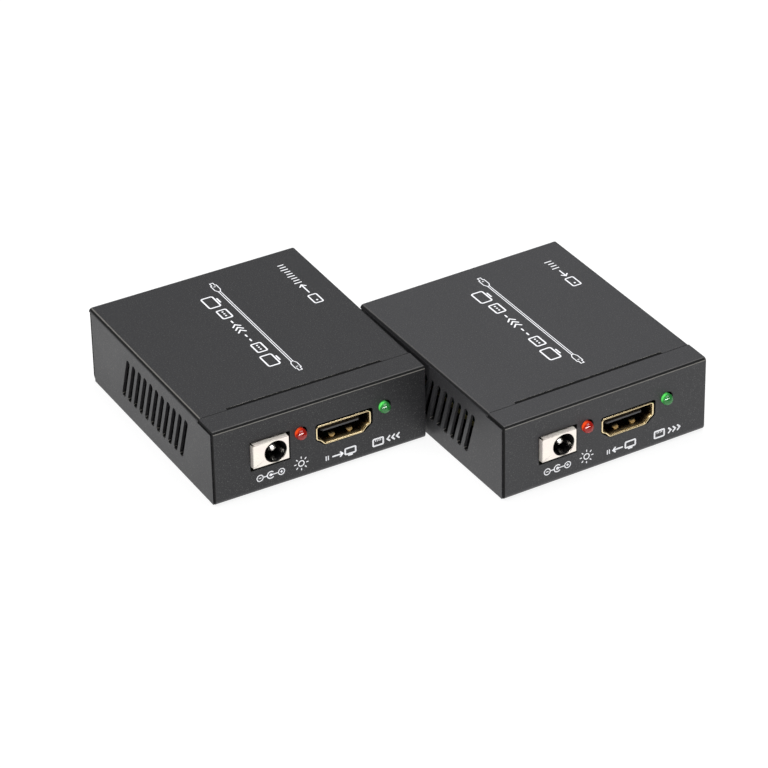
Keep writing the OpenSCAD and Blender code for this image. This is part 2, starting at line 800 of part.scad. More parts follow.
// Flat contacts above and below the tongue; behind the socket their tails go down to the board
module video_socket_contacts() {
    front = video_tongue_recess + video_pin_recess;
    color(gold) at_video() for (level = [0, 1]) {
        count = video_pin_counts[level];
        z = video_tongue_z + (level == 0 ? -video_tongue_t / 2 - video_pin_t : video_tongue_t / 2);
        for (i = [0:count - 1])
            translate([(i - (count - 1) / 2) * video_pin_pitch - video_pin_w / 2, 0, 0]) {
                translate([0, front, z]) cube([video_pin_w, video_d - video_rear_t - front, video_pin_t]);
                if (level == 1) {
                    translate([0, video_d, -video_z]) cube([video_pin_w, video_pin_t, video_z + z]);
                    translate([0, video_d + video_pin_t, -video_z])
                        cube([video_pin_w, video_tail_reach, video_pin_t]);
                }
            }
    }
}

// Place of the network socket: x from its middle, y forward from its outer face, z from the board
module at_network() {
    translate([network_x, network_front, board_top]) mirror([0, 1, 0]) children();
}

module network_socket_shell() {
    t = network_shell_t;
    color(steel) at_network() difference() {
        translate([-network_w / 2, 0, 0]) cube([network_w, network_d, network_h]);
        translate([-network_w / 2 + t, t, -overrun])
            cube([network_w - 2 * t, network_d - 2 * t, network_h - t + overrun]);
        translate([-network_mouth_w / 2 - t, -overrun, network_mouth_z - network_latch_h - t])
            cube([network_mouth_w + 2 * t, t + 2 * overrun, network_mouth_h + network_latch_h + 2 * t]);
    }
}

module network_socket_body() {
    inset = network_shell_t + network_fit;
    color(black_plastic) at_network() difference() {
        translate([-network_w / 2 + inset, inset, 0])
            cube([network_w - 2 * inset, network_d - 2 * inset, network_h - inset]);
        translate([-network_mouth_w / 2, -overrun, network_mouth_z])
            cube([network_mouth_w, network_mouth_d + overrun, network_mouth_h]);
        translate([-network_latch_w / 2, -overrun, network_mouth_z - network_latch_h])
            cube([network_latch_w, network_mouth_d + overrun, network_latch_h + overrun]);
    }
}

// Eight springy contacts that lean down from the roof of the network socket's cavity
module network_socket_contacts() {
    color(gold) at_network() for (i = [0:network_pin_count - 1])
        translate([(i - (network_pin_count - 1) / 2) * network_pin_pitch - network_pin_w / 2,
                   network_mouth_d - network_pin_reach - network_shelf,
                   network_mouth_z + network_mouth_h - network_pin_t])
            rotate([-network_pin_lean, 0, 0])
                cube([network_pin_w, network_pin_reach, network_pin_t]);
}

// A part on the board, whose middle is x to the right of the case's middle and y behind the front panel
module on_board(x, y) {
    translate([case_w / 2 + x, y, board_top]) children();
}

// Row of flat leads out of both long sides of a package, down on the board
module lead_rows(w, run, pitch) {
    count = floor(run / pitch);
    middle = (count - 1) / 2;
    for (side = [-1, 1], i = [0:count - 1])
        translate([side * (w + lead_reach) / 2 - lead_reach / 2, (i - middle) * pitch - lead_w / 2, 0])
            cube([lead_reach, lead_w, lead_t]);
}

// Flat package, standing just off the board
module package(size) {
    translate([-size[0] / 2, -size[1] / 2, chip_stand]) cube([size[0], size[1], size[2] - chip_stand]);
}

module main_chip() {
    color(black_plastic) on_board(main_chip_x, rear_row) {
        package([main_chip_w, main_chip_w, main_chip_h]);
        for (turn = [0, 90])
            rotate([0, 0, turn]) lead_rows(main_chip_w, main_chip_w - 2 * lead_reach, lead_pitch);
    }
}

module video_chip() {
    color(black_plastic) on_board(video_chip_x, front_row) {
        package([video_chip_w, video_chip_w, video_chip_h]);
        for (turn = [0, 90])
            rotate([0, 0, turn]) lead_rows(video_chip_w, video_chip_w - 2 * lead_reach, lead_pitch);
    }
}

module line_transformer() {
    color(black_plastic) on_board(transformer_x, rear_row) {
        package(transformer_size);
        lead_rows(transformer_size[0], transformer_size[1], transformer_lead_pitch);
    }
}

// Regulator: a package with three leads in front and a cooling tab behind
module voltage_regulator() {
    w = regulator_size[0];
    d = regulator_size[1];
    color(black_plastic) on_board(regulator_x, front_row) {
        package(regulator_size);
        for (i = [-1:1])
            translate([i * w / 3 - lead_w, -d / 2 - 2 * lead_reach, 0])
                cube([2 * lead_w, 2 * lead_reach, 2 * lead_t]);
        translate([-w / 2 + lead_w, d / 2, 0]) cube([w - 2 * lead_w, lead_reach, 2 * lead_t]);
    }
}

// Inductor: a square ferrite block with cut corners
module power_inductor() {
    color([0.3, 0.3, 0.32]) on_board(inductor_x, front_row) {
        intersection() {
            translate([0, 0, inductor_size[2] / 2]) cube(inductor_size, center = true);
            cylinder(h = inductor_size[2], d = inductor_size[0] * inductor_corner_share);
        }
    }
}

// Two round capacitors beside the network socket, each a can on a square foot
module capacitors() {
    foot = capacitor_d * capacitor_foot_share;
    color([0.75, 0.76, 0.78]) for (side = [-1, 1])
        on_board(network_right + side * (network_w / 2 + capacitor_gap + foot / 2),
                 network_inner + capacitor_setback) {
            translate([-foot / 2, -foot / 2, 0]) cube([foot, foot, capacitor_h * capacitor_foot_h_share]);
            cylinder(h = capacitor_h, d = capacitor_d);
        }
}

// Crystal can with round ends
module clock_crystal() {
    w = crystal_size[0];
    run = crystal_size[1] - w;
    color(steel) on_board(crystal_x, board_front + crystal_front) {
        translate([-w / 2, -run / 2, 0]) cube([w, run, crystal_size[2]]);
        for (side = [-1, 1]) translate([0, side * run / 2, 0]) cylinder(h = crystal_size[2], d = w);
    }
}

module small_parts() {
    size = small_part_size;
    color([0.55, 0.45, 0.35]) for (x = small_part_columns, i = [0:small_part_count - 1])
        on_board(x, rear_row + (i - (small_part_count - 1) / 2) * small_part_pitch)
            translate([-size[0] / 2, -size[1] / 2, 0]) cube(size);
}

transmitter() cover();  // transmitter_cover
transmitter() chassis();  // transmitter_chassis
transmitter() cover_screws();  // transmitter_cover_screws
transmitter() board_spacers();  // transmitter_board_spacers
transmitter() board_screws();  // transmitter_board_screws
transmitter() circuit_board(transmitter_board_w);  // transmitter_circuit_board
transmitter() power_socket_shell();  // transmitter_power_socket_shell
transmitter() power_socket_body();  // transmitter_power_socket_body
transmitter() power_socket_pin();  // transmitter_power_socket_pin
transmitter() power_socket_springs();  // transmitter_power_socket_springs
transmitter() power_light_lens();  // transmitter_power_light_lens
transmitter() power_light_leads();  // transmitter_power_light_leads
transmitter() video_socket_shell();  // transmitter_video_socket_shell
transmitter() video_socket_tongue();  // transmitter_video_socket_tongue
transmitter() video_socket_contacts();  // transmitter_video_socket_contacts
transmitter() signal_light_lens();  // transmitter_signal_light_lens
transmitter() signal_light_leads();  // transmitter_signal_light_leads
transmitter() network_socket_shell();  // transmitter_network_socket_shell
transmitter() network_socket_body();  // transmitter_network_socket_body
transmitter() network_socket_contacts();  // transmitter_network_socket_contacts
transmitter() main_chip();  // transmitter_main_chip
transmitter() video_chip();  // transmitter_video_chip
transmitter() line_transformer();  // transmitter_line_transformer
transmitter() voltage_regulator();  // transmitter_voltage_regulator
transmitter() power_inductor();  // transmitter_power_inductor
transmitter() capacitors();  // transmitter_capacitors
transmitter() clock_crystal();  // transmitter_clock_crystal
transmitter() small_parts();  // transmitter_small_parts

receiver() cover();  // receiver_cover
receiver() chassis();  // receiver_chassis
receiver() cover_screws();  // receiver_cover_screws
receiver() board_spacers();  // receiver_board_spacers
receiver() board_screws();  // receiver_board_screws
receiver() circuit_board(receiver_board_w);  // receiver_circuit_board
receiver() power_socket_shell();  // receiver_power_socket_shell
receiver() power_socket_body();  // receiver_power_socket_body
receiver() power_socket_pin();  // receiver_power_socket_pin
receiver() power_socket_springs();  // receiver_power_socket_springs
receiver() power_light_lens();  // receiver_power_light_lens
receiver() power_light_leads();  // receiver_power_light_leads
receiver() video_socket_shell();  // receiver_video_socket_shell
receiver() video_socket_tongue();  // receiver_video_socket_tongue
receiver() video_socket_contacts();  // receiver_video_socket_contacts
receiver() signal_light_lens();  // receiver_signal_light_lens
receiver() signal_light_leads();  // receiver_signal_light_leads
receiver() network_socket_shell();  // receiver_network_socket_shell
receiver() network_socket_body();  // receiver_network_socket_body
receiver() network_socket_contacts();  // receiver_network_socket_contacts
receiver() main_chip();  // receiver_main_chip
receiver() video_chip();  // receiver_video_chip
receiver() line_transformer();  // receiver_line_transformer
receiver() voltage_regulator();  // receiver_voltage_regulator
receiver() power_inductor();  // receiver_power_inductor
receiver() capacitors();  // receiver_capacitors
receiver() clock_crystal();  // receiver_clock_crystal
receiver() small_parts();  // receiver_small_parts
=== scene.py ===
# Looks of a pair of video extender boxes: finishes, sockets, lights and printed marks round the model.
# Every piece is worked out in the millimetres of its own box, where x runs from the box's left side,
# y back from its front panel and z up from the table, and is then set down in the frame in metres.
import json
import math
import bmesh
import bpy
import numpy as np
from mathutils import Matrix, Vector

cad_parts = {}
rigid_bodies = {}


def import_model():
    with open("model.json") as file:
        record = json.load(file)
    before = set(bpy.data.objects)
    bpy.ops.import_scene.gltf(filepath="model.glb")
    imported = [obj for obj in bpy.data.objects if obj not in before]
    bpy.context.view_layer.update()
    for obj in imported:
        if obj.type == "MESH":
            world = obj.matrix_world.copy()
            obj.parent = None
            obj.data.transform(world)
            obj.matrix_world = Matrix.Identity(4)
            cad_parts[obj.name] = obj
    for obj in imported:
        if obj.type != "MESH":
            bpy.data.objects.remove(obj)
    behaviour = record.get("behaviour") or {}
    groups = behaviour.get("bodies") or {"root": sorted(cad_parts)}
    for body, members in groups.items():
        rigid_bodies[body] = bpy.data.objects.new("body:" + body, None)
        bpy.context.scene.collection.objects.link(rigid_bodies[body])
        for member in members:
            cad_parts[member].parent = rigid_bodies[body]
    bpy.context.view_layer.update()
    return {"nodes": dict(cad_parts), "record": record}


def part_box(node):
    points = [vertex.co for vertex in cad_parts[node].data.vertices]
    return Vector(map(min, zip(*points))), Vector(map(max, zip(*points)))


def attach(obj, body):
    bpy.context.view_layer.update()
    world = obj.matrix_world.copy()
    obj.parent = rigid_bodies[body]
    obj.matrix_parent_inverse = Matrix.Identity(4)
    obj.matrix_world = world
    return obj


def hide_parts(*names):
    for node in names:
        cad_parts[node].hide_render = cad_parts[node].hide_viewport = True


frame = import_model()
mm = 0.001
units = ("transmitter", "receiver")

mountOf = {mount["name"]: mount for mount in frame["record"]["mounts"]}
# from a box's left side to the middle of its video socket, in mm; the first box stands square to the frame
videoFromSide = (mountOf["transmitter_video_socket"]["pos_m"][0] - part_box("transmitter_cover")[0][0]) / mm


def stacked(*parts):
    # points from their separate numbers, which are spread to one shape
    return np.stack(np.broadcast_arrays(*parts), -1)


def unitLength(vectors):
    return vectors / np.linalg.norm(vectors, axis=-1, keepdims=True)


def boxPlace(unit):
    # the video socket's mount faces forward: its axis turned a quarter gives the box's x, and the corner
    # of the box is videoFromSide back along it, down on the table
    mount = mountOf[unit + "_video_socket"]
    facing = unitLength(np.array(mount["axis"], float))
    right = np.array([-facing[1], facing[0], 0.0])
    corner = np.array(mount["pos_m"], float) - right * videoFromSide * mm
    corner[2] = 0.0
    return corner, np.array([right, -facing, [0.0, 0.0, 1.0]])


places = {unit: boxPlace(unit) for unit in units}


def setDown(unit, points):
    # a point of the box, in mm, is the corner plus each of its numbers along the box's own axis
    corner, axes = places[unit]
    return np.asarray(points, float) * mm @ axes + corner


def span(part):
    # lowest and highest corner of a CAD part in the first box's mm
    low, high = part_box("transmitter_" + part)
    corner = places["transmitter"][0]
    return (np.array(low) - corner) / mm, (np.array(high) - corner) / mm


chassisLow, chassisHigh = span("chassis")
caseHeight = chassisHigh[2]
print("frame loaded, box", np.round([span("cover")[1][0], chassisHigh[1], caseHeight], 2), "mm")


# Shader helpers

def feed(tree, node, inputs):
    # each of the node's inputs is joined to the given socket or set to the given value
    for name, value in inputs.items():
        if isinstance(value, bpy.types.NodeSocket):
            tree.links.new(value, node.inputs[name])
        else:
            node.inputs[name].default_value = value


def addNode(tree, kind, inputs={}, **settings):
    made = tree.nodes.new(kind)
    for name, value in settings.items():
        setattr(made, name, value)
    feed(tree, made, inputs)
    return made


def reckon(tree, operation, *values):
    # one step of arithmetic on numbers or sockets
    return addNode(tree, "ShaderNodeMath", dict(enumerate(values)), operation=operation).outputs[0]


def objectPoint(tree):
    return addNode(tree, "ShaderNodeTexCoord").outputs["Object"]


def meshValue(tree, name):
    return addNode(tree, "ShaderNodeAttribute", attribute_name=name).outputs["Fac"]


def noise(tree, point, size, detail, rough=0.5, warp=0.0):
    # noise with features of a size in mm: its scale is one over the size in metres
    scale = reckon(tree, "DIVIDE", 1 / mm, size)
    return addNode(tree, "ShaderNodeTexNoise", {"Vector": point, "Scale": scale, "Detail": detail,
                                                "Roughness": rough, "Distortion": warp}).outputs["Fac"]


def remap(tree, value, fromLow, fromHigh, toLow=0.0, toHigh=1.0):
    # straight-line change of a value's range, held at its ends
    return addNode(tree, "ShaderNodeMapRange", {"Value": value, "From Min": fromLow, "From Max": fromHigh,
                                                "To Min": toLow, "To Max": toHigh}).outputs["Result"]


def mixColor(tree, factor, first, second, blend="MIX"):
    return addNode(tree, "ShaderNodeMix", {0: factor, 6: first, 7: second}, data_type="RGBA",
                   blend_type=blend).outputs[2]


def normalParts(tree):
    normal = addNode(tree, "ShaderNodeNewGeometry").outputs["Normal"]
    return addNode(tree, "ShaderNodeSeparateXYZ", {"Vector": normal}).outputs


def newGroup(name, inputs, outputs):
    # a shader group with named sockets, which are colours where the name ends so; returns it and its inputs
    group = bpy.data.node_groups.new(name, "ShaderNodeTree")
    for way, labels in (("INPUT", inputs), ("OUTPUT", outputs)):
        for label in labels:
            kind = "NodeSocketColor" if label.endswith("Color") else "NodeSocketFloat"
            group.interface.new_socket(name=label, in_out=way, socket_type=kind)
    return group, group.nodes.new("NodeGroupInput").outputs


def closeGroup(tree, results):
    # joins each result to the group's output of its name
    addNode(tree, "NodeGroupOutput", results)
    return tree


roughPair = ("Low Roughness", "High Roughness")
finishOutputs = ("Color", "Roughness", "Height")
# where each noise starts to tell and is full, and the shades that two of them turn between
ranges = {"flow": (0.3, 0.7), "speck": (0.56, 0.72), "patch": (0.45, 0.62), "stain": (0.42, 0.68),
          "coatShade": (0.95, 1.05), "plasticShade": (0.8, 1.2)}


def roughness(tree, value, given):
    # between the group's low and high roughness, by a noise's middle range
    return remap(tree, value, *ranges["flow"], *[given[name] for name in roughPair])


def grainGroup():
    # baked coating: a fine noise for the powder's grains and a wide one for its flow; both turn the colour,
    # the flow sets the roughness, and the height is the two added
    tree, given = newGroup("coatGrain", ("Color", "Speck Color", "Grain Size", "Flow Size", "Speck",
                                         *roughPair), finishOutputs)
    point = objectPoint(tree)
    grain = noise(tree, point, given["Grain Size"], 2.0, 0.6)
    flow = noise(tree, point, given["Flow Size"], 3.0)
    speck = reckon(tree, "MULTIPLY", remap(tree, grain, *ranges["speck"]), given["Speck"])
    shade = remap(tree, flow, *ranges["flow"], *ranges["coatShade"])
    shaded = mixColor(tree, 1.0, given["Color"], shade, "MULTIPLY")
    return closeGroup(tree, {"Color": mixColor(tree, speck, shaded, given["Speck Color"]),
                             "Roughness": roughness(tree, flow, given),
                             "Height": reckon(tree, "ADD", grain, flow)})


def wearGroup():
    # edge wear and painted highlights: the mesh's edge mask times a broken noise, so that only short
    # stretches of an edge shine, while a high mask paints a highlight along most of its length
    tree, given = newGroup("edgeWearAndHighlight", ("Mask", "Patch Size", "Amount"), ("Wear And Highlight",))
    broken = noise(tree, objectPoint(tree), given["Patch Size"], 5.0, 0.65)
    masked = reckon(tree, "MULTIPLY", remap(tree, broken, *ranges["patch"]), given["Mask"])
    return closeGroup(tree, {"Wear And Highlight": reckon(tree, "MULTIPLY", masked, given["Amount"])})


def metalGroup():
    # drawn metal: a noise stretched along x sets the roughness and the height, and a soft noise for stains
    # turns the colour
    tree, given = newGroup("drawnMetal", ("Color", "Stain Color", "Line Size", "Stain", *roughPair),
                           finishOutputs)
    point = objectPoint(tree)
    drawn = addNode(tree, "ShaderNodeMapping", {"Vector": point, "Scale": (0.12, 1.0, 1.0)})
    lines = noise(tree, drawn.outputs["Vector"], given["Line Size"], 3.0, 0.7)
    stains = remap(tree, noise(tree, point, 3.0, 4.0), *ranges["stain"])
    share = reckon(tree, "MULTIPLY", stains, given["Stain"])
    return closeGroup(tree, {"Color": mixColor(tree, share, given["Color"], given["Stain Color"]),
                             "Roughness": roughness(tree, lines, given), "Height": lines})


def plasticGroup():
    # moulded plastic: a fine even bite for the height, and faint flow marks in its shade and shine
    tree, given = newGroup("mouldedPlastic", ("Color", "Bite Size", *roughPair), finishOutputs)
    point = objectPoint(tree)
    flow = noise(tree, point, 4.0, 2.0, warp=0.8)
    shade = remap(tree, flow, *ranges["flow"], *ranges["plasticShade"])
    return closeGroup(tree, {"Color": mixColor(tree, 1.0, given["Color"], shade, "MULTIPLY"),
                             "Roughness": roughness(tree, flow, given),
                             "Height": noise(tree, point, given["Bite Size"], 1.0)})


# painted light and shade along the bends, set by the way the surface faces: along a bend the surface tips
# from
# upwards, 1, to level, 0: where each painted line starts, is full, fades and ends, its strength, and whether
# it runs over the front panel, both sides or the left one
paintedBendLine = {"sideLight": {"tilt": (0.88, 0.92, 0.985, 0.998), "strength": 0.36, "on": "left"},
            "sideShade": {"tilt": (0.40, 0.56, 0.86, 0.91), "strength": 0.85, "on": "sides"},
            "browUpperHighlight": {"tilt": (0.92, 0.945, 0.985, 0.996), "strength": 0.10, "on": "brow"},
            "browShade": {"tilt": (0.50, 0.58, 0.88, 0.92), "strength": 0.9, "on": "brow"},
            "browLowerHighlight": {"tilt": (0.20, 0.26, 0.40, 0.47), "strength": 0.60, "on": "brow"}}
bendFacing = {"forward": (0.08, 0.12), "left": (-0.02, 0.0)}


def bendGroup():
    # painted highlights and painted shade along the bends: each line is a band of the surface's tilt, rising
    # and falling in a straight line; the painted light and the painted shade are the strongest of their
    # bands
    tree, given = newGroup("paintedBendLines", ("Side Highlight Amount",), ("Light", "Shade"))
    parts = normalParts(tree)
    forward = reckon(tree, "ABSOLUTE", parts["Y"])
    sides = remap(tree, forward, *bendFacing["forward"], 1.0, 0.0)
    left = reckon(tree, "MULTIPLY", sides, remap(tree, parts["X"], *bendFacing["left"], 1.0, 0.0))
    masks = {"sides": sides, "left": reckon(tree, "MULTIPLY", left, given["Side Highlight Amount"]),
             "brow": remap(tree, forward, *bendFacing["forward"])}
    total = {}
    for name, look in paintedBendLine.items():
        start, full, fade, end = look["tilt"]
        rise = remap(tree, parts["Z"], start, full, 0.0, look["strength"])
        band = reckon(tree, "MULTIPLY", rise, remap(tree, parts["Z"], fade, end, 1.0, 0.0))
        line = reckon(tree, "MULTIPLY", band, masks[look["on"]])
        kind = "Shade" if name.endswith("Shade") else "Light"
        total[kind] = reckon(tree, "MAXIMUM", total[kind], line) if kind in total else line
    return closeGroup(tree, total)


groups = {"grain": grainGroup(), "wearAndHighlight": wearGroup(), "metal": metalGroup(), "plastic": plasticGroup(),
          "bends": bendGroup()}


def emptyMaterial(name, plain):
    # a material with its shader's plain numbers set, and its tree and shader
    material = bpy.data.materials.new(name)
    material.use_nodes = True
    shader = material.node_tree.nodes["Principled BSDF"]
    feed(material.node_tree, shader, plain)
    return material, material.node_tree, shader


def groupNode(tree, group, values):
    return addNode(tree, "ShaderNodeGroup", values, node_tree=groups[group]).outputs


def joinFinish(tree, shader, finish, bumpDepth, color=None, rough=None):
    # colour, roughness and height go to the shader, the height through a bump in mm
    bump = addNode(tree, "ShaderNodeBump", {"Height": finish["Height"], "Strength": 1.0,
                                            "Distance": bumpDepth * mm})
    feed(tree, shader, {"Base Color": color or finish["Color"], "Roughness": rough or finish["Roughness"],
                        "Normal": bump.outputs["Normal"]})


def finishedMaterial(name, group, values, bumpDepth, plain):
    # a material that is one finish alone
    material, tree, shader = emptyMaterial(name, plain)
    joinFinish(tree, shader, groupNode(tree, group, values), bumpDepth)
    return material


# the receiver's copy of the coat is painted lighter than the transmitter's, as painted light for the
# brighter light on that box, and its painted side highlight is weaker beside the transmitter
coat = {"color": {"transmitter": (0.028, 0.028, 0.031, 1), "receiver": (0.047, 0.047, 0.051, 1)},
        "worn": (0.52, 0.50, 0.45, 1), "sheared": (0.004, 0.004, 0.004, 1), "bump": 0.02, "dull": 0.5,
        "finish": {"Speck Color": (0.21, 0.21, 0.20, 1), "Grain Size": 0.3, "Flow Size": 14.0, "Speck": 0.45,
                   "Low Roughness": 0.40, "High Roughness": 0.45},
        "wearAndHighlight": {"Patch Size": 3.0, "Amount": 0.6}, "sideHighlight": {"transmitter": 1.0, "receiver": 0.25}}


def coatMaterial(unit):
    # black coating: paler, towards bare metal, in patches of its edges where it is worn and in the painted
    # highlights along the bends, the seam's bend and the strip's side edges; darker and duller in the
    # painted shade on the chassis's side edges, in the seam's gap and along the bends
    material, tree, shader = emptyMaterial(unit + "Coat", {"Metallic": 0.0, "Specular IOR Level": 0.4})
    finish = groupNode(tree, "grain", {"Color": coat["color"][unit], **coat["finish"]})
    wearAndHighlight = groupNode(tree, "wearAndHighlight", {"Mask": meshValue(tree, "edge"), **coat["wearAndHighlight"]})["Wear And Highlight"]
    lines = groupNode(tree, "bends", {"Side Highlight Amount": coat["sideHighlight"][unit]})
    # painted shade: the mesh's mask of painted shade and the bends' painted shade
    dark = reckon(tree, "MAXIMUM", meshValue(tree, "sheared"), lines["Shade"])
    # edge wear, with the painted highlights of the raised mask and of the bends
    wearAndHighlightShare = reckon(tree, "MAXIMUM", wearAndHighlight, lines["Light"])
    coated = mixColor(tree, dark, finish["Color"], coat["sheared"])
    rough = reckon(tree, "MULTIPLY_ADD", dark, coat["dull"], finish["Roughness"])
    joinFinish(tree, shader, finish, coat["bump"], mixColor(tree, wearAndHighlightShare, coated, coat["worn"]), rough)
    return material


def metalMaterial(name, color, stain, low, high, stainShare=0.4):
    return finishedMaterial(name, "metal", {"Color": color, "Stain Color": stain, "Low Roughness": low,
                                            "High Roughness": high, "Stain": stainShare, "Line Size": 0.15},
                            0.003, {"Metallic": 1.0})


def plasticMaterial(name, color, low, high, biteSize=0.12, bumpDepth=0.003):
    return finishedMaterial(name, "plastic", {"Color": color, "Low Roughness": low, "High Roughness": high,
                                              "Bite Size": biteSize}, bumpDepth, {"Metallic": 0.0})


shield = {"finish": {"Color": (0.97, 0.92, 0.83, 1), "Stain Color": (0.97, 0.86, 0.82, 1), "Stain": 0.7,
                     "Low Roughness": 0.24, "High Roughness": 0.36, "Line Size": 0.2},
          "metalShare": (0.15, 1.0), "bump": 0.003}


def shieldMaterial():
    # tinned face that mirrors like metal, and duller flaps: the mesh's plate value drives the metal share
    material, tree, shader = emptyMaterial("tinnedShield", {})
    metalShare = remap(tree, meshValue(tree, "plate"), 0.0, 1.0, *shield["metalShare"])
    feed(tree, shader, {"Metallic": metalShare})
    joinFinish(tree, shader, groupNode(tree, "metal", shield["finish"]), shield["bump"])
    return material


gold = {"finish": {"Color": (0.93, 0.77, 0.47, 1), "Stain Color": (0.74, 0.57, 0.32, 1), "Stain": 0.3,
                   "Low Roughness": 0.22, "High Roughness": 0.3, "Line Size": 0.3},
        # the inside colour is painted shade deep in the socket
        "inside": (0.17, 0.105, 0.045, 1), "bump": 0.0006}


def tubeMaterial():
    # gold plating with painted shade deeper into the socket: the mesh's deep value mixes it with a dull
    # brown that stands for the shade
    material, tree, shader = emptyMaterial("goldTube", {"Metallic": 1.0})
    finish = groupNode(tree, "metal", gold["finish"])
    color = mixColor(tree, meshValue(tree, "deep"), finish["Color"], gold["inside"])
    joinFinish(tree, shader, finish, gold["bump"], color)
    return material


board = {"finish": {"Color": (0.010, 0.055, 0.026, 1), "Low Roughness": 0.25, "High Roughness": 0.4,
                    "Bite Size": 0.6},
         "trace": (0.020, 0.10, 0.045, 1), "traceSize": 2.4, "traceEdge": (0.35, 0.38), "wander": 0.35,
         "cut": (0.24, 0.22, 0.085, 1), "bump": 0.01}


def boardMaterial():
    # solder mask with lighter copper runs where a cell pattern's distance passes an edge; the cut sides,
    # which don't face up or down, show the bare glass board
    material, tree, shader = emptyMaterial("solderMask", {"Metallic": 0.0})
    finish = groupNode(tree, "plastic", board["finish"])
    cells = addNode(tree, "ShaderNodeTexVoronoi", {"Vector": objectPoint(tree),
                                                   "Scale": 1 / (board["traceSize"] * mm),
                                                   "Randomness": board["wander"]},
                    distance="MANHATTAN", feature="F1").outputs["Distance"]
    masked = mixColor(tree, remap(tree, cells, *board["traceEdge"]), finish["Color"], board["trace"])
    side = reckon(tree, "LESS_THAN", reckon(tree, "ABSOLUTE", normalParts(tree)["Z"]), 0.5)
    joinFinish(tree, shader, finish, board["bump"], mixColor(tree, side, masked, board["cut"]))
    return material


# over which ranges of its painted glow a lens turns lighter, shows at all, turns hot, shines hot, and shines
# more
lensLook = {"cloud": 0.8, "cloudAmount": 0.35, "light": (0.0, 0.6), "shown": (-0.6, -0.2),
            "hot": (0.66, 1.0), "hotShine": (0.55, 0.95), "shine": (0.45, 0.95, 0.08, 0.6)}


def lensMaterial(name, deep, light, hot):
    # tinted milky lens: deep, light or hot in colour by the mesh's painted glow, which a soft noise clouds;
    # where the painted light gathers the lens glows by itself, a painted glow, and behind the panel it is
    # painted black as shade
    material, tree, shader = emptyMaterial(name, {"Metallic": 0.0, "Roughness": 0.06, "IOR": 1.5,
                                                  "Emission Strength": 1.0})
    cloud = reckon(tree, "SUBTRACT", noise(tree, objectPoint(tree), lensLook["cloud"], 2.0), 0.5)
    amount = reckon(tree, "MULTIPLY_ADD", cloud, lensLook["cloudAmount"], meshValue(tree, "paintedGlow"))
    tinted = mixColor(tree, remap(tree, amount, *lensLook["light"]), deep, light)
    body = mixColor(tree, 1.0, tinted, remap(tree, amount, *lensLook["shown"]), "MULTIPLY")
    color = mixColor(tree, remap(tree, amount, *lensLook["hot"]), body, hot)
    gathered = mixColor(tree, remap(tree, amount, *lensLook["hotShine"]), body, hot)
    shine = mixColor(tree, 1.0, gathered, remap(tree, amount, *lensLook["shine"]), "MULTIPLY")
    feed(tree, shader, {"Base Color": color, "Emission Color": shine})
    return material


# white screen print, a little thin where the coating's grain stands up, with a faint painted glow
printLook = {"finish": {"Color": (0.93, 0.94, 0.98, 1), "Speck Color": (0.6, 0.61, 0.66, 1),
                        "Grain Size": 0.25, "Flow Size": 5.0, "Speck": 0.3, "Low Roughness": 0.45,
                        "High Roughness": 0.6},
             "plain": {"Metallic": 0.0, "Emission Strength": 0.25, "Emission Color": (1.0, 1.0, 1.0, 1)},
             "bump": 0.006}

finishes = {
    "black_coat": coatMaterial("transmitter"),
    "screw_steel": metalMaterial("screwSteel", (0.62, 0.62, 0.63, 1), (0.4, 0.39, 0.37, 1), 0.25, 0.42),
    "spacer_nickel": metalMaterial("spacerNickel", (0.72, 0.70, 0.66, 1), (0.5, 0.48, 0.44, 1), 0.2, 0.35),
    "solder_mask": boardMaterial(),
    "bright_tin": metalMaterial("brightTin", (0.93, 0.91, 0.86, 1), (0.86, 0.8, 0.74, 1), 0.22, 0.34, 0.5),
    "black_plastic": plasticMaterial("blackPlastic", (0.014, 0.014, 0.014, 1), 0.3, 0.45),
    "red_lens": lensMaterial("redLens", (0.22, 0.006, 0.005, 1), (0.50, 0.018, 0.010, 1),
                             (1.0, 0.09, 0.016, 1)),
    "green_lens": lensMaterial("greenLens", (0.015, 0.12, 0.028, 1), (0.045, 0.33, 0.07, 1),
                               (0.13, 0.88, 0.15, 1)),
    "gold_plate": metalMaterial("goldPlate", (0.93, 0.77, 0.47, 1), (0.62, 0.46, 0.24, 1), 0.14, 0.26, 0.35),
    "socket_nickel": metalMaterial("socketNickel", (0.74, 0.73, 0.71, 1), (0.55, 0.54, 0.5, 1), 0.18, 0.32),
    "chip_black": plasticMaterial("chipBlack", (0.022, 0.022, 0.023, 1), 0.5, 0.65, 0.08),
    "ferrite_grey": plasticMaterial("ferriteGrey", (0.075, 0.075, 0.08, 1), 0.55, 0.7, 0.2, 0.008),
    "can_aluminium": metalMaterial("canAluminium", (0.82, 0.83, 0.84, 1), (0.6, 0.6, 0.6, 1), 0.25, 0.4),
    "ceramic_tan": plasticMaterial("ceramicTan", (0.38, 0.27, 0.17, 1), 0.4, 0.55, 0.15),
}
coats = {"transmitter": finishes["black_coat"], "receiver": coatMaterial("receiver")}
tinnedShield = shieldMaterial()
goldTube = tubeMaterial()
tongueGrey = plasticMaterial("tongueGrey", (0.10, 0.10, 0.105, 1), 0.3, 0.45)
whitePrint = finishedMaterial("whitePrint", "grain", printLook["finish"], printLook["bump"],
                              printLook["plain"])
print("materials:", len(bpy.data.materials))

slotOf = {row["node"].split("_", 1)[1]: row["material_slot"] for row in frame["record"]["subparts"]}
for nodeName, cadNode in frame["nodes"].items():
    unit, part = nodeName.split("_", 1)
    for slot in cadNode.material_slots:
        slot.material = coats[unit] if slotOf[part] == "black_coat" else finishes[slotOf[part]]


# Meshes

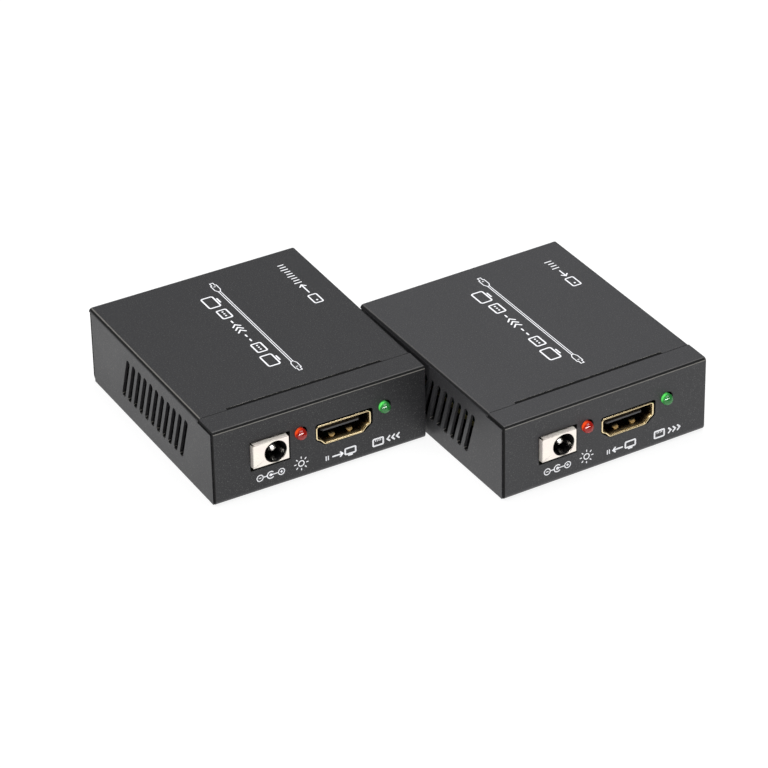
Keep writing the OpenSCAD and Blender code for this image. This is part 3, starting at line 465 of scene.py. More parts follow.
def gridFaces(rows, columns, rowsClose=False):
    # quads between neighbours of a grid numbered row by row: each row is a ring, and the last row may join
    # the first
    i, j = np.meshgrid(np.arange(rows if rowsClose else rows - 1), np.arange(columns), indexing="ij")
    below, beside = (i + 1) % rows, (j + 1) % columns
    corners = [i * columns + j, i * columns + beside, below * columns + beside, below * columns + j]
    return np.stack(corners, -1).reshape(-1, 4).tolist()


def barFaces(rows, columns):
    # the same for rings that follow each other along a bar, with a face over each end
    ends = [list(range(columns)), list(range((rows - 1) * columns, rows * columns))]
    return gridFaces(rows, columns) + ends


doubles = 0.002 * mm


def addPiece(name, unit, slot, sheets, replaced=(), material=None, sharpAngle=40, pointValues=None):
    # puts the sheets, which are grids of points with their faces, into one mesh, merges their doubles, turns
    # the faces outwards and sets the shading
    grids = [np.reshape(points, (-1, 3)) for points, faces in sheets]
    starts = np.cumsum([0] + [len(grid) for grid in grids]).tolist()
    faces = [[n + start for n in face] for (points, sheet), start in zip(sheets, starts) for face in sheet]
    mesh = bpy.data.meshes.new(f"{unit}_{name}")
    mesh.from_pydata(setDown(unit, np.concatenate(grids)).tolist(), [], faces)
    for label, values in (pointValues or {}).items():
        mesh.attributes.new(label, "FLOAT", "POINT").data.foreach_set("value", values.astype(np.float32))
    work = bmesh.new()
    work.from_mesh(mesh)
    bmesh.ops.remove_doubles(work, verts=work.verts, dist=doubles)
    bmesh.ops.recalc_face_normals(work, faces=work.faces)
    work.to_mesh(mesh)
    work.free()
    return finishPiece(mesh, name, unit, slot, replaced, material, sharpAngle)


def addObject(name, data):
    made = bpy.data.objects.new(name, data)
    bpy.context.scene.collection.objects.link(made)
    return made


def finishPiece(mesh, name, unit, slot, replaced, material=None, sharpAngle=40):
    # makes the object, which sits at the origin, hangs it on the root body and hides the CAD parts that it
    # stands for
    mesh.shade_smooth()
    mesh.set_sharp_from_angle(angle=math.radians(sharpAngle))
    mesh.materials.clear()
    mesh.materials.append(material or finishes[slot])
    piece = addObject(f"{unit}_{name}", mesh)
    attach(piece, "root")
    if replaced:
        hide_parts(*[f"{unit}_{part}" for part in replaced])
    return piece


# the bend where the roof steps down behind the top strip and the seam there, in the box's depth
seam = {"bend": 8.55, "reach": 0.33, "gap": 7.68, "gapReach": 0.26, "drop": 0.55, "level": 0.98}
# edges sharper than the angle are rounded, and faces that are flat within the other are merged
# the seam's and the strip's values raise the edge mask until it paints a highlight along them
soft = {"edge": 0.1, "socketEdge": 0.08, "steps": 2, "angle": 32, "flat": 0.8, "sideReach": 0.2,
        "sideways": 0.9, "seamHighlight": 5.0, "stripHighlight": 4.0, "sharp": 50, "flatWeight": 90}


def softenedCopy(name, unit, part, edge):
    # a merged copy of a CAD node with rounded edges, whose faces carry the edge mask that the wear reads,
    # raised along the seam's bend and the strip's side edges so that it paints highlights there; the
    # chassis's side edges and the seam's gap carry a mask of painted shade
    mesh = frame["nodes"][f"{unit}_{part}"].data.copy()
    mesh.name = f"{unit}_{name}"
    work = bmesh.new()
    work.from_mesh(mesh)
    bmesh.ops.remove_doubles(work, verts=work.verts, dist=doubles)
    bmesh.ops.dissolve_limit(work, angle_limit=math.radians(soft["flat"]), verts=work.verts,
                             edges=work.edges)
    mask = work.faces.layers.float.new("edge")
    sharp = [e for e in work.edges if len(e.link_faces) == 2
             and e.calc_face_angle(0.0) > math.radians(soft["angle"])]
    made = bmesh.ops.bevel(work, geom=sharp, offset=edge * mm, offset_type="OFFSET", segments=soft["steps"],
                           profile=0.5, affect="EDGES", clamp_overlap=True)
    corner, axes = places[unit]
    rounded = set(made["faces"])
    sheared = work.faces.layers.float.new("sheared")
    for face in work.faces:
        x, y, z = axes @ (np.array(face.calc_center_median()) - corner) / mm
        onTopSheet = z > caseHeight - seam["drop"]
        # the seam's gap is painted dark, as shade
        if onTopSheet and abs(y - seam["gap"]) < seam["gapReach"]:
            face[sheared] = 1.0
        elif onTopSheet and abs(y - seam["bend"]) < seam["reach"] and face.normal.z < seam["level"]:
            # a painted highlight along the seam's bend: the high mask fills the noise's patches
            face[mask] = soft["seamHighlight"]
        elif face in rounded:
            stripSide = (part == "chassis" and z > caseHeight - seam["reach"]
                         and x - chassisLow[0] < soft["sideReach"] and y < seam["gap"])
            # a painted highlight along the top strip's side edges; other rounded edges get plain edge wear
            face[mask] = soft["stripHighlight"] if stripSide else 1.0
        # the chassis's outer side faces, the front panel's cut edges among them, are painted dark, as shade
        elif part == "chassis":
            side = abs(axes[0] @ np.array(face.normal)) > soft["sideways"]
            outer = min(x - chassisLow[0], chassisHigh[0] - x) < soft["sideReach"]
            face[sheared] = float(side and outer)
    work.to_mesh(mesh)
    work.free()
    sheet = coats[unit] if slotOf[part] == "black_coat" else None
    piece = finishPiece(mesh, name, unit, slotOf[part], [part], sheet, soft["sharp"])
    weighted = piece.modifiers.new("flatFaces", "WEIGHTED_NORMAL")
    weighted.keep_sharp = True
    weighted.weight = soft["flatWeight"]
    return piece


for unit in units:
    for part in ("cover", "chassis"):
        softenedCopy(part + "_sheet", unit, part, soft["edge"])
    for part in ("network_socket_shell", "network_socket_body"):
        softenedCopy(part + "_soft", unit, part, soft["socketEdge"])
print("sheet metal softened")


def lengthAlong(path):
    # distance along a path from its first point to each of its points
    return np.concatenate([[0], np.cumsum(np.linalg.norm(np.diff(path, axis=0), axis=1))])


def pointsAt(path, marks):
    # the path's points at the given distances along it
    return stacked(*[np.interp(marks, lengthAlong(path), column) for column in path.T])


def roundedPath(corners, radii, steps):
    # closed path through corners, each cut by an arc of its radius that touches both of its sides; the
    # corners run anticlockwise, and the normals point outwards
    corners, radii = np.asarray(corners, float), np.asarray(radii, float)
    before = unitLength(np.roll(corners, 1, 0) - corners)
    after = unitLength(np.roll(corners, -1, 0) - corners)
    turn = before[:, 0] * after[:, 1] - before[:, 1] * after[:, 0]
    sign = np.where(turn < 0, 1.0, -1.0)
    half = np.arccos(np.clip((before * after).sum(1), -1, 1)) / 2
    middle = unitLength(before + after)
    centres = corners + middle * (radii / np.sin(half))[:, None]
    first = np.arctan2(*(-middle[:, ::-1]).T) - sign * (math.pi / 2 - half)
    angles = first[:, None] + sign[:, None] * (math.pi - 2 * half)[:, None] * np.linspace(0, 1, steps)
    rim = stacked(np.cos(angles), np.sin(angles))
    points = centres[:, None] + rim * radii[:, None, None]
    return points.reshape(-1, 2), (rim * sign[:, None, None]).reshape(-1, 2)


videoLow, videoHigh = span("video_socket_shell")
# the roll is the lip's profile, as distances inward and back from the lip's outer edge and front; dark is
# the depth behind the lip and the fingers' tips over which the painted shade comes in
video = {"width": videoHigh[0] - videoLow[0], "height": 6.0, "lip": 0.8, "wall": 0.3,
         "front": videoLow[1], "back": 11.5, "ledge": (1.18, 0.60), "slant": (1.25, 1.4), "radius": 0.95,
         "slantRadius": 0.4, "cornerSteps": 7, "windowX": (1.15, 3.95), "windowY": (1.9, 9.6),
         "roll": ((0.5, 0.9), (0.10, 0.5), (0.0, 0.30), (0.03, 0.12), (0.13, 0.02), (0.24, 0.0),
                  (0.36, 0.05), (0.44, 0.2), (0.55, 0.6), (0.70, 1.2), (0.8, 1.8)), "dark": (0.5, 1.3)}
video["middleZ"] = videoHigh[2] - video["height"] / 2


def videoOutline():
    # outer edge of the lip: square shoulders above, and below on each side a short ledge and a slant
    w, h, ledge, slant = video["width"] / 2, video["height"] / 2, video["ledge"], video["slant"]
    right = [(w - ledge[0] - slant[0], -h), (w - ledge[0], -h + slant[1]),
             (w, -h + slant[1] + ledge[1]), (w, h)]
    left = [(-x, z) for x, z in reversed(right)]
    radii = [video["radius"], video["slantRadius"], video["radius"], video["radius"]]
    return roundedPath(right + left, radii + radii[::-1], video["cornerSteps"])


def videoShell():
    # tube with a rolled lip: a profile of inward distance and depth goes forward outside the wall, round the
    # lip and back inside, and is carried along the outline less its normal times the distance. Four more
    # points on the outline's floor, and two on each wall of the profile, bound a window on each side, which
    # is left open and gets its cut edges
    lip, wall, front = video["lip"], video["wall"], video["front"]
    wallY = (video["back"], video["windowY"][1], video["windowY"][0])
    profile = np.array([(lip - wall, y) for y in wallY]
                       + [(inward, front + y) for inward, y in video["roll"]]
                       + [(lip, y) for y in reversed(wallY)])
    outer, inner = (1, 2), (len(profile) - 3, len(profile) - 2)
    path, normals = videoOutline()
    near, far = video["windowX"]
    floor = stacked([-far, -near, near, far], -video["height"] / 2)
    first = len(path)
    path = np.concatenate([path, floor])
    normals = np.concatenate([normals, np.tile([0.0, -1.0], (4, 1))])
    across = path[:, None] - normals[:, None] * profile[:, :1]
    tube = stacked(across[..., 0] + videoFromSide, profile[:, 1], across[..., 1] + video["middleZ"])
    rows, columns = tube.shape[:2]
    faces = gridFaces(rows, columns, True)
    for row in (first, first + 2):
        here, there = row * columns, (row + 1) * columns
        for a, b in (outer, inner):
            faces.remove([here + a, here + b, there + b, there + a])
        for edge in (here, there):
            faces.append([edge + outer[0], edge + outer[1], edge + inner[0], edge + inner[1]])
        for a, b in ((outer[0], inner[1]), (outer[1], inner[0])):
            faces.append([here + a, here + b, there + b, there + a])
    return [(tube, faces)]


def leaf(along, width, thick, tipRound, steps=9, tipStart=0.15):
    # a spring leaf: a rectangle carried along points (y, z), narrowing to a half circle at its first end;
    # the width at a distance from the tip is the chord of that circle
    fine = np.concatenate([tipRound * (1 - np.cos(np.linspace(tipStart, math.pi / 2, steps))),
                           np.linspace(tipRound, lengthAlong(along)[-1], 3 * steps)[1:]])
    y, z = pointsAt(along, fine).T
    half = width / 2 * np.sqrt(np.clip(1 - np.clip(1 - fine / tipRound, 0, 1) ** 2, 0, 1))
    slope = unitLength(stacked(np.gradient(y), np.gradient(z)))
    lift = stacked(-slope[:, 1], slope[:, 0]) * thick / 2
    signs = np.array([(-1, -1), (1, -1), (1, 1), (-1, 1)], float)
    rings = stacked(half[:, None] * signs[:, 0], y[:, None] + lift[:, None, 0] * signs[:, 1],
                    z[:, None] + lift[:, None, 1] * signs[:, 1])
    return rings, barFaces(len(fine), 4)


# the height is the rise times a quarter cosine, less a dip that fades over a share of the run
finger = {"x": 2.5, "width": 1.7, "thick": 0.28, "tip": 1.2, "root": 9.6, "rise": 0.8, "dip": 0.8,
          "dipFade": 20, "steps": 9}


def videoFingers():
    # two fingers that rise from the lower wall and dip again at their rounded tips
    floor = video["middleZ"] - video["height"] / 2 + video["lip"] - video["wall"] / 2
    run = np.linspace(0, 1, finger["steps"])
    y = finger["tip"] + run * (finger["root"] - finger["tip"])
    dip = 1 - finger["dip"] * np.exp(-run * finger["dipFade"])
    z = floor + finger["rise"] * np.cos(run * math.pi / 2) * dip
    rings, faces = leaf(stacked(y, z), finger["width"], finger["thick"], finger["width"] / 2)
    return [(rings + [videoFromSide + side * finger["x"], 0, 0], faces) for side in (-1, 1)]


tongueLow, tongueHigh = span("video_socket_tongue")
tongue = {"width": 10.9, "front": 1.55, "nose": 0.5, "thick": 0.95, "noseRun": 0.7, "corner": 0.45,
          "base": 1.2, "lift": 0.2, "sharp": 20}


def videoTongue():
    # the carrier: an outline in depth and height carried across the socket between four stations, of which
    # the outer two stand back by the corner's cut, and a plain block behind it
    z = video["middleZ"] + tongue["lift"]
    nose, thick = tongue["nose"] / 2, tongue["thick"] / 2
    front, baseFront = tongue["front"], tongueHigh[1] - tongue["base"]
    back = front + tongue["noseRun"]
    outline = np.array([(front, z - nose), (front, z + nose), (back, z + thick), (baseFront, z + thick),
                        (baseFront, z - thick), (back, z - thick)])
    half, cut = tongue["width"] / 2, tongue["corner"]
    stations = np.array([-half, -half + cut, half - cut, half])
    setBack = np.array([cut, 0, 0, cut])
    grid = stacked(videoFromSide + stations[:, None],
                   outline[:, 0] + setBack[:, None] * (outline[:, 0] < baseFront), outline[:, 1])
    y0, y1, z0, z1 = baseFront, tongueHigh[1], tongueLow[2], tongueHigh[2]
    block = [[(x, y0, z0), (x, y1, z0), (x, y1, z1), (x, y0, z1)] for x in (tongueLow[0], tongueHigh[0])]
    return [(grid, barFaces(len(stations), len(outline))), (block, barFaces(2, 4))]


for unit in units:
    # how deep each point lies behind the lip or the finger's tip, for the painted shade: 0 at the dark's
    # near end,
    # 1 at its far end
    sheets = videoShell() + videoFingers()
    depths = [np.interp(points[..., 1].ravel() - start, video["dark"], (0, 1))
              for (points, faces), start in zip(sheets, (video["front"], finger["tip"], finger["tip"]))]
    addPiece("video_socket_tube", unit, "gold_plate", sheets, ["video_socket_shell"], goldTube,
             pointValues={"deep": np.concatenate(depths)})
    addPiece("video_socket_carrier", unit, "black_plastic", videoTongue(), ["video_socket_tongue"],
             tongueGrey, tongue["sharp"])
print("video sockets made")


# the aim is the way, x and z, that the painted light gathers in; the painted glow is a base, a share of the
# aim, and a share of it that grows towards the back of the dome
lens = {"radius": 1.5, "collarDepth": 0.8, "steps": 64, "domeSteps": 16, "panel": (0.7, 0.8),
        "aim": (-0.75, 0.66), "paintedGlow": (0.34, 0.16, 0.5), "behindPanel": -1}


def lensSheets(light):
    # a profile of (radius, depth) pairs turned about the lamp's axis: a half ball, a barrel with two points
    # close to the panel's face, and the CAD lens's collar
    low, high = span(light + "_lens")
    x, z = (low[0] + high[0]) / 2, (low[2] + high[2]) / 2
    r, collar = lens["radius"], (high[0] - low[0]) / 2
    collarFront = high[1] - lens["collarDepth"]
    turn = np.linspace(0, 2 * math.pi, lens["steps"], endpoint=False)
    rise = np.linspace(0, math.pi / 2, lens["domeSteps"])
    dome = stacked(r * np.sin(rise), low[1] + r * (1 - np.cos(rise)))
    barrel = [(r, y) for y in (*lens["panel"], collarFront)]
    profile = np.concatenate([dome, barrel, [(collar, collarFront), (collar, high[1]), (0.0, high[1])]])
    radius, depth = profile[:, :1], profile[:, 1:]
    grid = stacked(x + radius * np.cos(turn), depth, z + radius * np.sin(turn))
    # the painted light gathers in the upper left of the barrel and the base of the dome; behind the panel,
    # painted shade
    base, aimShare, gathered = lens["paintedGlow"]
    aim = (np.cos(turn) * lens["aim"][0] + np.sin(turn) * lens["aim"][1]) * radius / r
    backwards = np.clip((depth - low[1]) / r, 0, 1)
    paintedGlow = np.clip(base + aimShare * aim + gathered * backwards ** 3 * np.clip(aim, 0, 1), 0, 1)
    paintedGlow[profile[:, 1] > sum(lens["panel"]) / 2] = lens["behindPanel"]
    return [(grid, gridFaces(len(profile), len(turn)))], paintedGlow.ravel()


for unit in units:
    for light, slot in (("power_light", "red_lens"), ("signal_light", "green_lens")):
        sheets, paintedGlow = lensSheets(light)
        addPiece(light + "_dome", unit, slot, sheets, [light + "_lens"], pointValues={"paintedGlow": paintedGlow})
print("lights made")


jackLow, jackHigh = span("power_socket_shell")
pinMiddle = sum(span("power_socket_pin")) / 2
# the bore edge's rings lie at shares of the way out and are set back by the roll; the plate values are
# those of the front and of the left, right and top flaps
jack = {"bore": pinMiddle[[0, 2]], "boreRadius": 3.05, "boreSteps": 96, "shares": (0, 0.03, 0.08, 1.0),
        "roll": (0.16, 0.04, 0.0, 0.0), "fold": 0.2, "foldSteps": 6, "foldInside": 0.8, "corner": 0.25,
        "cornerRight": 0.1, "sheet": 0.32, "foot": 0.4, "plate": (1.0, 0.0, 1.0, 0.0)}


def jackShell():
    # folded shield: the front lies between the round bore and a rectangle, on a grid of angle and share of
    # the way out; three flaps are folded back from it, and leave its corners open
    front, fold, t, bore = jackLow[1], jack["fold"], jack["sheet"], jack["bore"]
    low = np.array([jackLow[0] + fold, jackLow[2] + jack["foot"]])
    high = np.array([jackHigh[0] - fold, jackHigh[2] - fold])
    angle = np.linspace(0, 2 * math.pi, jack["boreSteps"], endpoint=False)
    aim = stacked(np.cos(angle), np.sin(angle))
    far = np.where(aim > 0, high, low) - bore
    level = np.abs(aim) < 1e-9
    reach = np.where(level, np.inf, far / np.where(level, 1.0, aim)).min(1)
    corners = np.array([high, (low[0], high[1]), low, (high[0], low[1])])
    toCorner = np.arctan2(*(corners - bore)[:, ::-1].T) % (2 * math.pi)
    nearest = np.abs(angle[None] - toCorner[:, None]).argmin(1)
    outer = bore + aim * reach[:, None]
    outer[nearest] = corners
    inner = bore + aim * jack["boreRadius"]
    flat = inner[:, None] + (outer - inner)[:, None] * np.array(jack["shares"])[:, None]
    fore = stacked(flat[..., 0], front + np.array(jack["roll"]), flat[..., 1])
    hind = fore[:, ::-1] * [1, 0, 1] + [0, front + t, 0]
    plate = np.concatenate([fore, hind], 1)
    sheets = [(plate, gridFaces(*plate.shape[:2], True))]
    bend = np.linspace(0, math.pi / 2, jack["foldSteps"])
    arc = stacked(np.sin(bend), -np.cos(bend))
    inside = fold - t * jack["foldInside"]
    depth = jackHigh[1] - front
    section = np.concatenate([arc * fold + [0, fold], [(fold, depth), (inside, depth)],
                              arc[::-1] * inside + [0, fold]])
    gap, gapRight = jack["corner"], jack["cornerRight"]
    for at, out, axis, ends in ((low[0], -1, 0, (low[1], high[1] - gap)),
                                (high[0], 1, 0, (low[1], high[1] - gapRight)),
                                (high[1], 1, 2, (low[0] + gap, high[0] - gapRight))):
        flap = np.zeros((2, len(section), 3))
        flap[..., axis] = at + out * section[:, 0]
        flap[..., 1] = front + section[:, 1]
        flap[..., 2 - axis] = np.array(ends)[:, None]
        sheets.append((flap, barFaces(2, len(section))))
    values = [np.full(points.size // 3, value) for (points, faces), value in zip(sheets, jack["plate"])]
    return sheets, np.concatenate(values)


spring = {"angles": (-27, -93), "start": 0.6, "run": 6.8, "steps": 11, "clear": 0.22, "bow": 0.55,
          "bowPower": 0.8, "width": 0.95, "thick": 0.2, "tip": 0.18, "tailThick": 0.4,
          "tail": ((-1.1, 1.5), (1.1, 1.5), (1.1, 0.2), (0.77, 0.0), (-0.77, 0.0), (-1.1, 0.2))}


def jackSprings():
    # leaves along the bore bow in towards the pin by a power of a sine; the tail's outline is in distances
    # from its middle and forward of its end
    run = np.linspace(0, 1, spring["steps"])
    y = jackLow[1] + spring["start"] + run * spring["run"]
    bow = spring["bow"] * np.sin(run * math.pi) ** spring["bowPower"]
    inward = jack["boreRadius"] - spring["clear"] - bow
    sheets = []
    for angle in spring["angles"]:
        rings, faces = leaf(stacked(y, -inward), spring["width"], spring["thick"], spring["tip"])
        turn = math.radians(angle + 90)
        x = rings[..., 0] * math.cos(turn) - rings[..., 2] * math.sin(turn)
        z = rings[..., 0] * math.sin(turn) + rings[..., 2] * math.cos(turn)
        sheets.append((stacked(x + jack["bore"][0], rings[..., 1], z + jack["bore"][1]), faces))
    low, high = span("power_socket_springs")
    middle = (jackLow[0] + jackHigh[0]) / 2
    tail = [[(middle + x, high[1] - back, z) for x, back in spring["tail"]]
            for z in (low[2], low[2] + spring["tailThick"])]
    return sheets + [(tail, barFaces(2, len(spring["tail"])))]


for unit in units:
    sheets, plate = jackShell()
    addPiece("power_socket_shield", unit, "bright_tin", sheets, ["power_socket_shell"], tinnedShield,
             pointValues={"plate": plate})
    addPiece("power_socket_leaves", unit, "spacer_nickel", jackSprings(), ["power_socket_springs"])
print("power sockets made")


# Printed marks: strokes of white print that stand a hair proud of the coating

ink = {"thick": 0.02, "proud": 0.001, "line": 0.45, "capStart": 0.25, "capSteps": 5, "capWidth": 0.02}


def stroke(points, width=ink["line"], closed=False):
    # a width carried along a path; near each end it narrows by the chord of a half circle, and a closed
    # line keeps its width all the way round
    points = np.asarray(points, float)
    if closed:
        ahead, behind = np.roll(points, -1, 0) - points, points - np.roll(points, 1, 0)
        half = np.full(len(points), width / 2)
    else:
        s = lengthAlong(points)
        total, r = s[-1], min(width / 2, s[-1] / 2.01)
        cap = r * (1 - np.cos(np.linspace(ink["capStart"], math.pi / 2, ink["capSteps"])))
        marks = np.unique(np.round(np.concatenate([cap, s[(s > r) & (s < total - r)], total - cap]), 6))
        points = pointsAt(points, marks)
        chord = 1 - np.clip(1 - np.minimum(marks, total - marks) / r, 0, 1) ** 2
        half = width / 2 * np.sqrt(np.clip(chord, ink["capWidth"], 1))
        ahead = np.diff(points, axis=0, append=points[-1:] * 2 - points[-2:-1])
        behind = np.diff(points, axis=0, prepend=points[:1] * 2 - points[1:2])
    ahead, behind = unitLength(ahead), unitLength(behind)
    way = unitLength(ahead + behind)
    stretch = 1 / np.clip((way * ahead).sum(1), 0.5, 1)
    side = stacked(-way[:, 1], way[:, 0]) * (half * stretch)[:, None]
    rings = np.stack([points - side, points + side, points + side, points - side], 1)
    faces = gridFaces(len(rings), 4, True) if closed else barFaces(len(rings), 4)
    return stacked(rings[..., 0], rings[..., 1], np.array([0, 0, 1, 1]) * ink["thick"]), faces


def line(x, z, runX, runZ, width=ink["line"]):
    # a straight stroke from a point, as far across and up as given
    return stroke([(x, z), (x + runX, z + runZ)], width)


def ring(x, z, radius, width=ink["line"], start=0, end=360):
    # an arc as a stroke; a full turn is a closed one
    full = end - start >= 360
    angle = np.radians(np.linspace(start, end, 33))
    path = stacked(x + radius * np.cos(angle), z + radius * np.sin(angle))
    return stroke(path[:-1] if full else path, width, full)


def frameLine(x, z, wide, high, width=ink["line"], corner=0.3):
    # a rectangle with rounded corners, from its lowest corner
    corners = [(x, z), (x + wide, z), (x + wide, z + high), (x, z + high)]
    return stroke(roundedPath(corners, [corner] * 4, 4)[0], width, True)


def dot(x, z, radius):
    # a filled round dot: a ring whose line is as wide as its radius
    return ring(x, z, radius / 2, radius)


def chevron(x, z, size, high, width=ink["line"]):
    # two strokes that meet in a point on the side that the size reaches to
    return stroke([(x, z + high), (x + size, z), (x, z - high)], width)


def arrow(x, z, length, head=0.8, width=ink["line"]):
    # a shaft and a chevron at its tip
    back = math.copysign(head, length)
    return [line(x, z, length, 0, width), chevron(x + length - back, z, back, head, width)]


def sunMark(x=24.2, z=4.8):
    # a lamp: a ring with eight rays
    aims = [(math.cos(turn), math.sin(turn)) for turn in np.arange(8) * math.pi / 4]
    rays = [line(x + 1.35 * a, z + 1.35 * b, 0.7 * a, 0.7 * b, 0.3) for a, b in aims]
    return [ring(x, z, 0.78, 0.3)] + rays


def polarityMark(x=15.6, z=4.35):
    # barrel plug polarity: minus, an open ring round a dot, and plus
    marks = [ring(x, z, 0.98, 0.34, 40, 320), dot(x, z, 0.42), line(x, z, 2.0, 0, 0.3),
             line(x - 0.98, z, -1.02, 0, 0.3), line(x + 3.0, z - 0.4, 0, 0.8, 0.26)]
    for middle in (x - 3.0, x + 3.0):
        marks += [ring(middle, z, 0.86, 0.28), line(middle - 0.4, z, 0.8, 0, 0.26)]
    return marks


def videoMark(x, outwards, z=3.8):
    # a screen on its foot, with an arrow that goes in or out, and two ticks
    way = arrow(x + 4.7, z, -3.0) if outwards else arrow(x + 1.7, z, 3.0)
    ticks = [line(x + n * 0.62, z - 0.7, 0, 1.4, 0.3) for n in range(2)]
    return way + ticks + [frameLine(x + 5.4, z - 0.65, 3.0, 1.7), line(x + 6.2, z - 1.08, 1.4, 0)]


def networkMark(x, outwards, z=3.85):
    # a socket outline with its contacts, and chevrons that point away from it or to it
    contacts = [line(x + 0.75 + n * 0.47, z + 0.2, 0, 0.52, 0.2) for n in range(4)]
    start, size = (4.1, 0.85) if outwards else (4.9, -0.85)
    way = [chevron(x + start + n * 1.35, z, size, 0.85) for n in range(3)]
    return [frameLine(x, z - 1.0, 2.9, 2.0)] + contacts + way


def onFront(marks):
    # marks drawn in x and z stand on the front panel, their thickness forward
    return [(stacked(g[..., 0], -g[..., 2] - ink["proud"], g[..., 1]), faces) for g, faces in marks]


def onTop(marks):
    # marks drawn with u along the box's depth and v towards its left side lie on the roof
    roof = caseHeight + ink["proud"]
    return [(stacked(-g[..., 1], g[..., 0], roof + g[..., 2]), faces) for g, faces in marks]


# half of a plug's outline, as distances from its end and from its middle line
plugHalf = ((0, 0.45), (1.2, 0.45), (1.2, 0.8), (3.6, 0.8), (4.6, 0.3))


def cableMark(u0=14.7, u1=63.2, v=-32.55):
    # a cable with a plug at each end: two thin lines, and at each end a stepped plug outline
    plug = plugHalf[-1][0]
    marks = [line(u0 + plug, v + side, u1 - u0 - 2 * plug, 0, 0.22) for side in (-0.27, 0.27)]
    for end, way in ((u0, 1), (u1, -1)):
        near = [(end + way * u, v - out) for u, out in plugHalf]
        far = [(end + way * u, v + out) for u, out in reversed(plugHalf)]
        marks += [stroke(near + far, 0.24, True), line(end + way * 1.9, v - 0.35, 0, 0.7, 0.22)]
    return marks


def titleMark(u=20.0, v=-28.4, width=0.42):
    # in the title's place: screen, box, a run of dashes and chevrons, box and screen
    marks = [chevron(u + 17.9 + n * 1.5, v, 1.2, 1.2, width) for n in range(3)]
    marks += [line(u + start, v, 1.3, 0, width) for start in (12.9, 15.3, 23.0)]
    for screen, box in ((0, 7.2), (32.2, 26.0)):
        marks += [frameLine(u + screen, v - 1.3, 5.2, 3.2, width, 0.5),
                  line(u + screen + 1.4, v - 1.95, 2.4, 0, width),
                  frameLine(u + box, v - 1.5, 4.2, 2.7, width, 0.4)]
        marks += [dot(u + box + 1.2 + n, v - 0.15, 0.28) for n in range(3)]
    return marks


unitPrint = {"transmitter": {"from": 40.8, "to": 62.4, "arrow": 4.4, "out": True},
             "receiver": {"from": 46.8, "to": 61.8, "arrow": 3.2, "out": False}}


def unitMark(unit, v=-52.2):
    # in the unit name's place: a box, an arrow out of it or into it, and a row of ticks
    look = unitPrint[unit]
    u, shaft = look["from"], look["arrow"]
    marks = [frameLine(u, v - 1.2, 4.2, 2.4, 0.38, 0.4), dot(u + 1.3, v, 0.3)]
    start = u + 5.4
    marks += arrow(start, v, shaft, 1.0, 0.38) if look["out"] else arrow(start + shaft, v, -shaft, 1.0, 0.38)
    for n, tick in enumerate(np.arange(start + shaft + 1.4, look["to"], 1.25)):
        marks.append(line(tick, v - 0.9, 0, 1.8 if n % 3 else 2.2, 0.34))
    return marks


for unit in units:
    out = unit == "receiver"
    frontMarks = polarityMark() + sunMark() + videoMark(30.4 if out else 31.2, out) + networkMark(44.6, out)
    addPiece("front_marks", unit, None, onFront(frontMarks), material=whitePrint)
    addPiece("top_marks", unit, None, onTop(cableMark() + titleMark() + unitMark(unit)), material=whitePrint)
print("marks printed")


# Camera, worked out from the edges of both boxes in the photograph: focal length in pixels of its
# 768 pixel width, the three directions that it looks along, and its place in the first box's mm
photo = {"width": 768, "focal": 3950.99, "right": (0.87009, -0.49262, -0.01633),
         "down": (-0.27657, -0.46054, -0.84345), "ahead": (0.40798, 0.73839, -0.53696),
         "place": (-352.03, -724.07, 546.86)}


def addCamera():
    data = bpy.data.cameras.new("photoCamera")
    data.sensor_width = 36.0
    data.lens = photo["focal"] * data.sensor_width / photo["width"]
    data.clip_start, data.clip_end = 0.05, 20.0
    camera = addObject("photoCamera", data)
    right, down, ahead = (np.array(photo[k]) for k in ("right", "down", "ahead"))
    turn = Matrix(np.stack([right, -down, -ahead], 1).tolist()).to_4x4()
    camera.matrix_world = Matrix.Translation(setDown("transmitter", [photo["place"]])[0].tolist()) @ turn
    bpy.context.scene.camera = camera


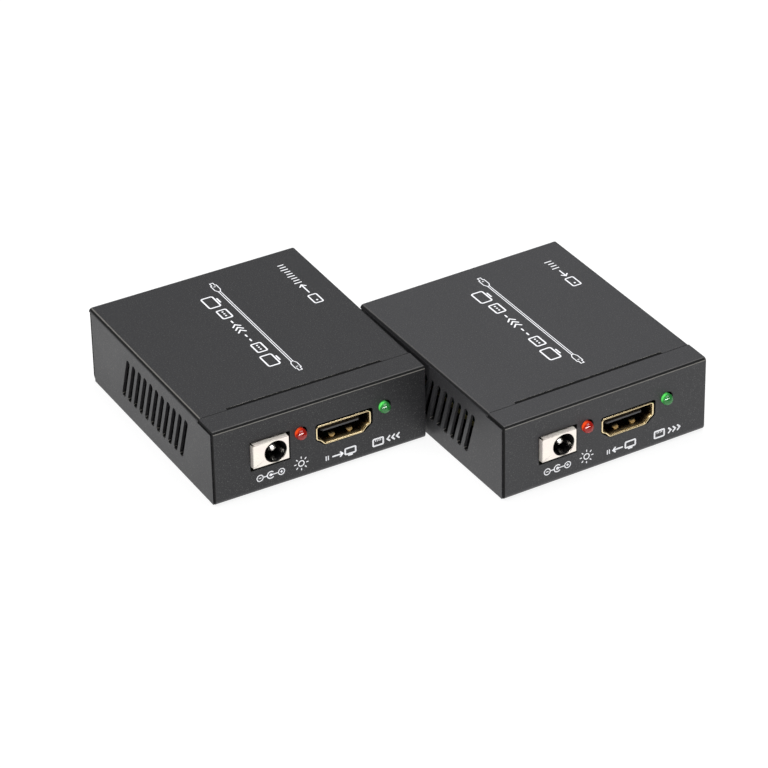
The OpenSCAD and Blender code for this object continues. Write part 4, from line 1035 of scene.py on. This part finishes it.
def addSoftbox(name, azimuth, elevation, distance, size, power, twist=0, glossOnly=False):
    # a lamp that faces the pair from a direction, in degrees from the back towards the right and up from the
    # table, and a distance in metres; the twist turns it about its own line of sight
    data = bpy.data.lights.new(name, "AREA")
    data.shape = "RECTANGLE"
    data.size, data.size_y = size
    data.energy = power
    lamp = addObject(name, data)
    a, e = math.radians(azimuth), math.radians(elevation)
    place = Vector((math.sin(a) * math.cos(e), math.cos(a) * math.cos(e), math.sin(e))) * distance
    facing = (-place).to_track_quat("-Z", "Y").to_matrix().to_4x4()
    lamp.matrix_world = Matrix.Translation(place) @ facing @ Matrix.Rotation(math.radians(twist), 4, "Z")
    if glossOnly:
        # it shines on the lenses and pins alone
        lamp.visible_diffuse = False
        lamp.light_linking.receiver_collection = bpy.data.collections.new(name + "Pieces")
        for piece in bpy.data.objects:
            if piece.name.endswith(("_dome", "_pin")):
                lamp.light_linking.receiver_collection.objects.link(piece)


# each lamp's azimuth, elevation, distance, size, power and twist, and whether it's for lenses and pins alone
studio = {
    "table": 3.0, "tableDrop": 0.02 * mm, "world": (0.32, 0.32, 0.33, 1), "worldStrength": 0.12,
    "tableLook": {"Base Color": (0.2, 0.2, 0.2, 1), "Roughness": 0.8, "Specular IOR Level": 0.2,
                  "Emission Color": (1, 1, 1, 1), "Emission Strength": 0.88},
    "lamps": {"overhead": (0, 89, 1.0, (1.0, 1.0), 11.5, 0, False),
              "behindRight": (29, 35, 1.2, (0.6, 0.5), 0.7, 0, False),
              "frontStrip": (-151, 31, 0.6, (1.3, 0.17), 16.0, 22, True)},
}


def addStudio():
    # a pale table that glows and lights the panels from below, and soft lamps
    half, level = studio["table"] / 2, -studio["tableDrop"]
    corners = [(-half, -half, level), (half, -half, level), (half, half, level), (-half, half, level)]
    mesh = bpy.data.meshes.new("table")
    mesh.from_pydata(corners, [], [(0, 1, 2, 3)])
    mesh.materials.append(emptyMaterial("tableWhite", studio["tableLook"])[0])
    table = addObject("table", mesh)
    world = bpy.data.worlds.new("studio")
    world.use_nodes = True
    backdrop = world.node_tree.nodes["Background"]
    backdrop.inputs["Color"].default_value = studio["world"]
    backdrop.inputs["Strength"].default_value = studio["worldStrength"]
    bpy.context.scene.world = world
    for name, settings in studio["lamps"].items():
        addSoftbox(name, *settings)
    bpy.context.scene.view_settings.view_transform = "Standard"
    bpy.context.scene.view_settings.look = "None"


addCamera()
addStudio()
print("camera and studio set")
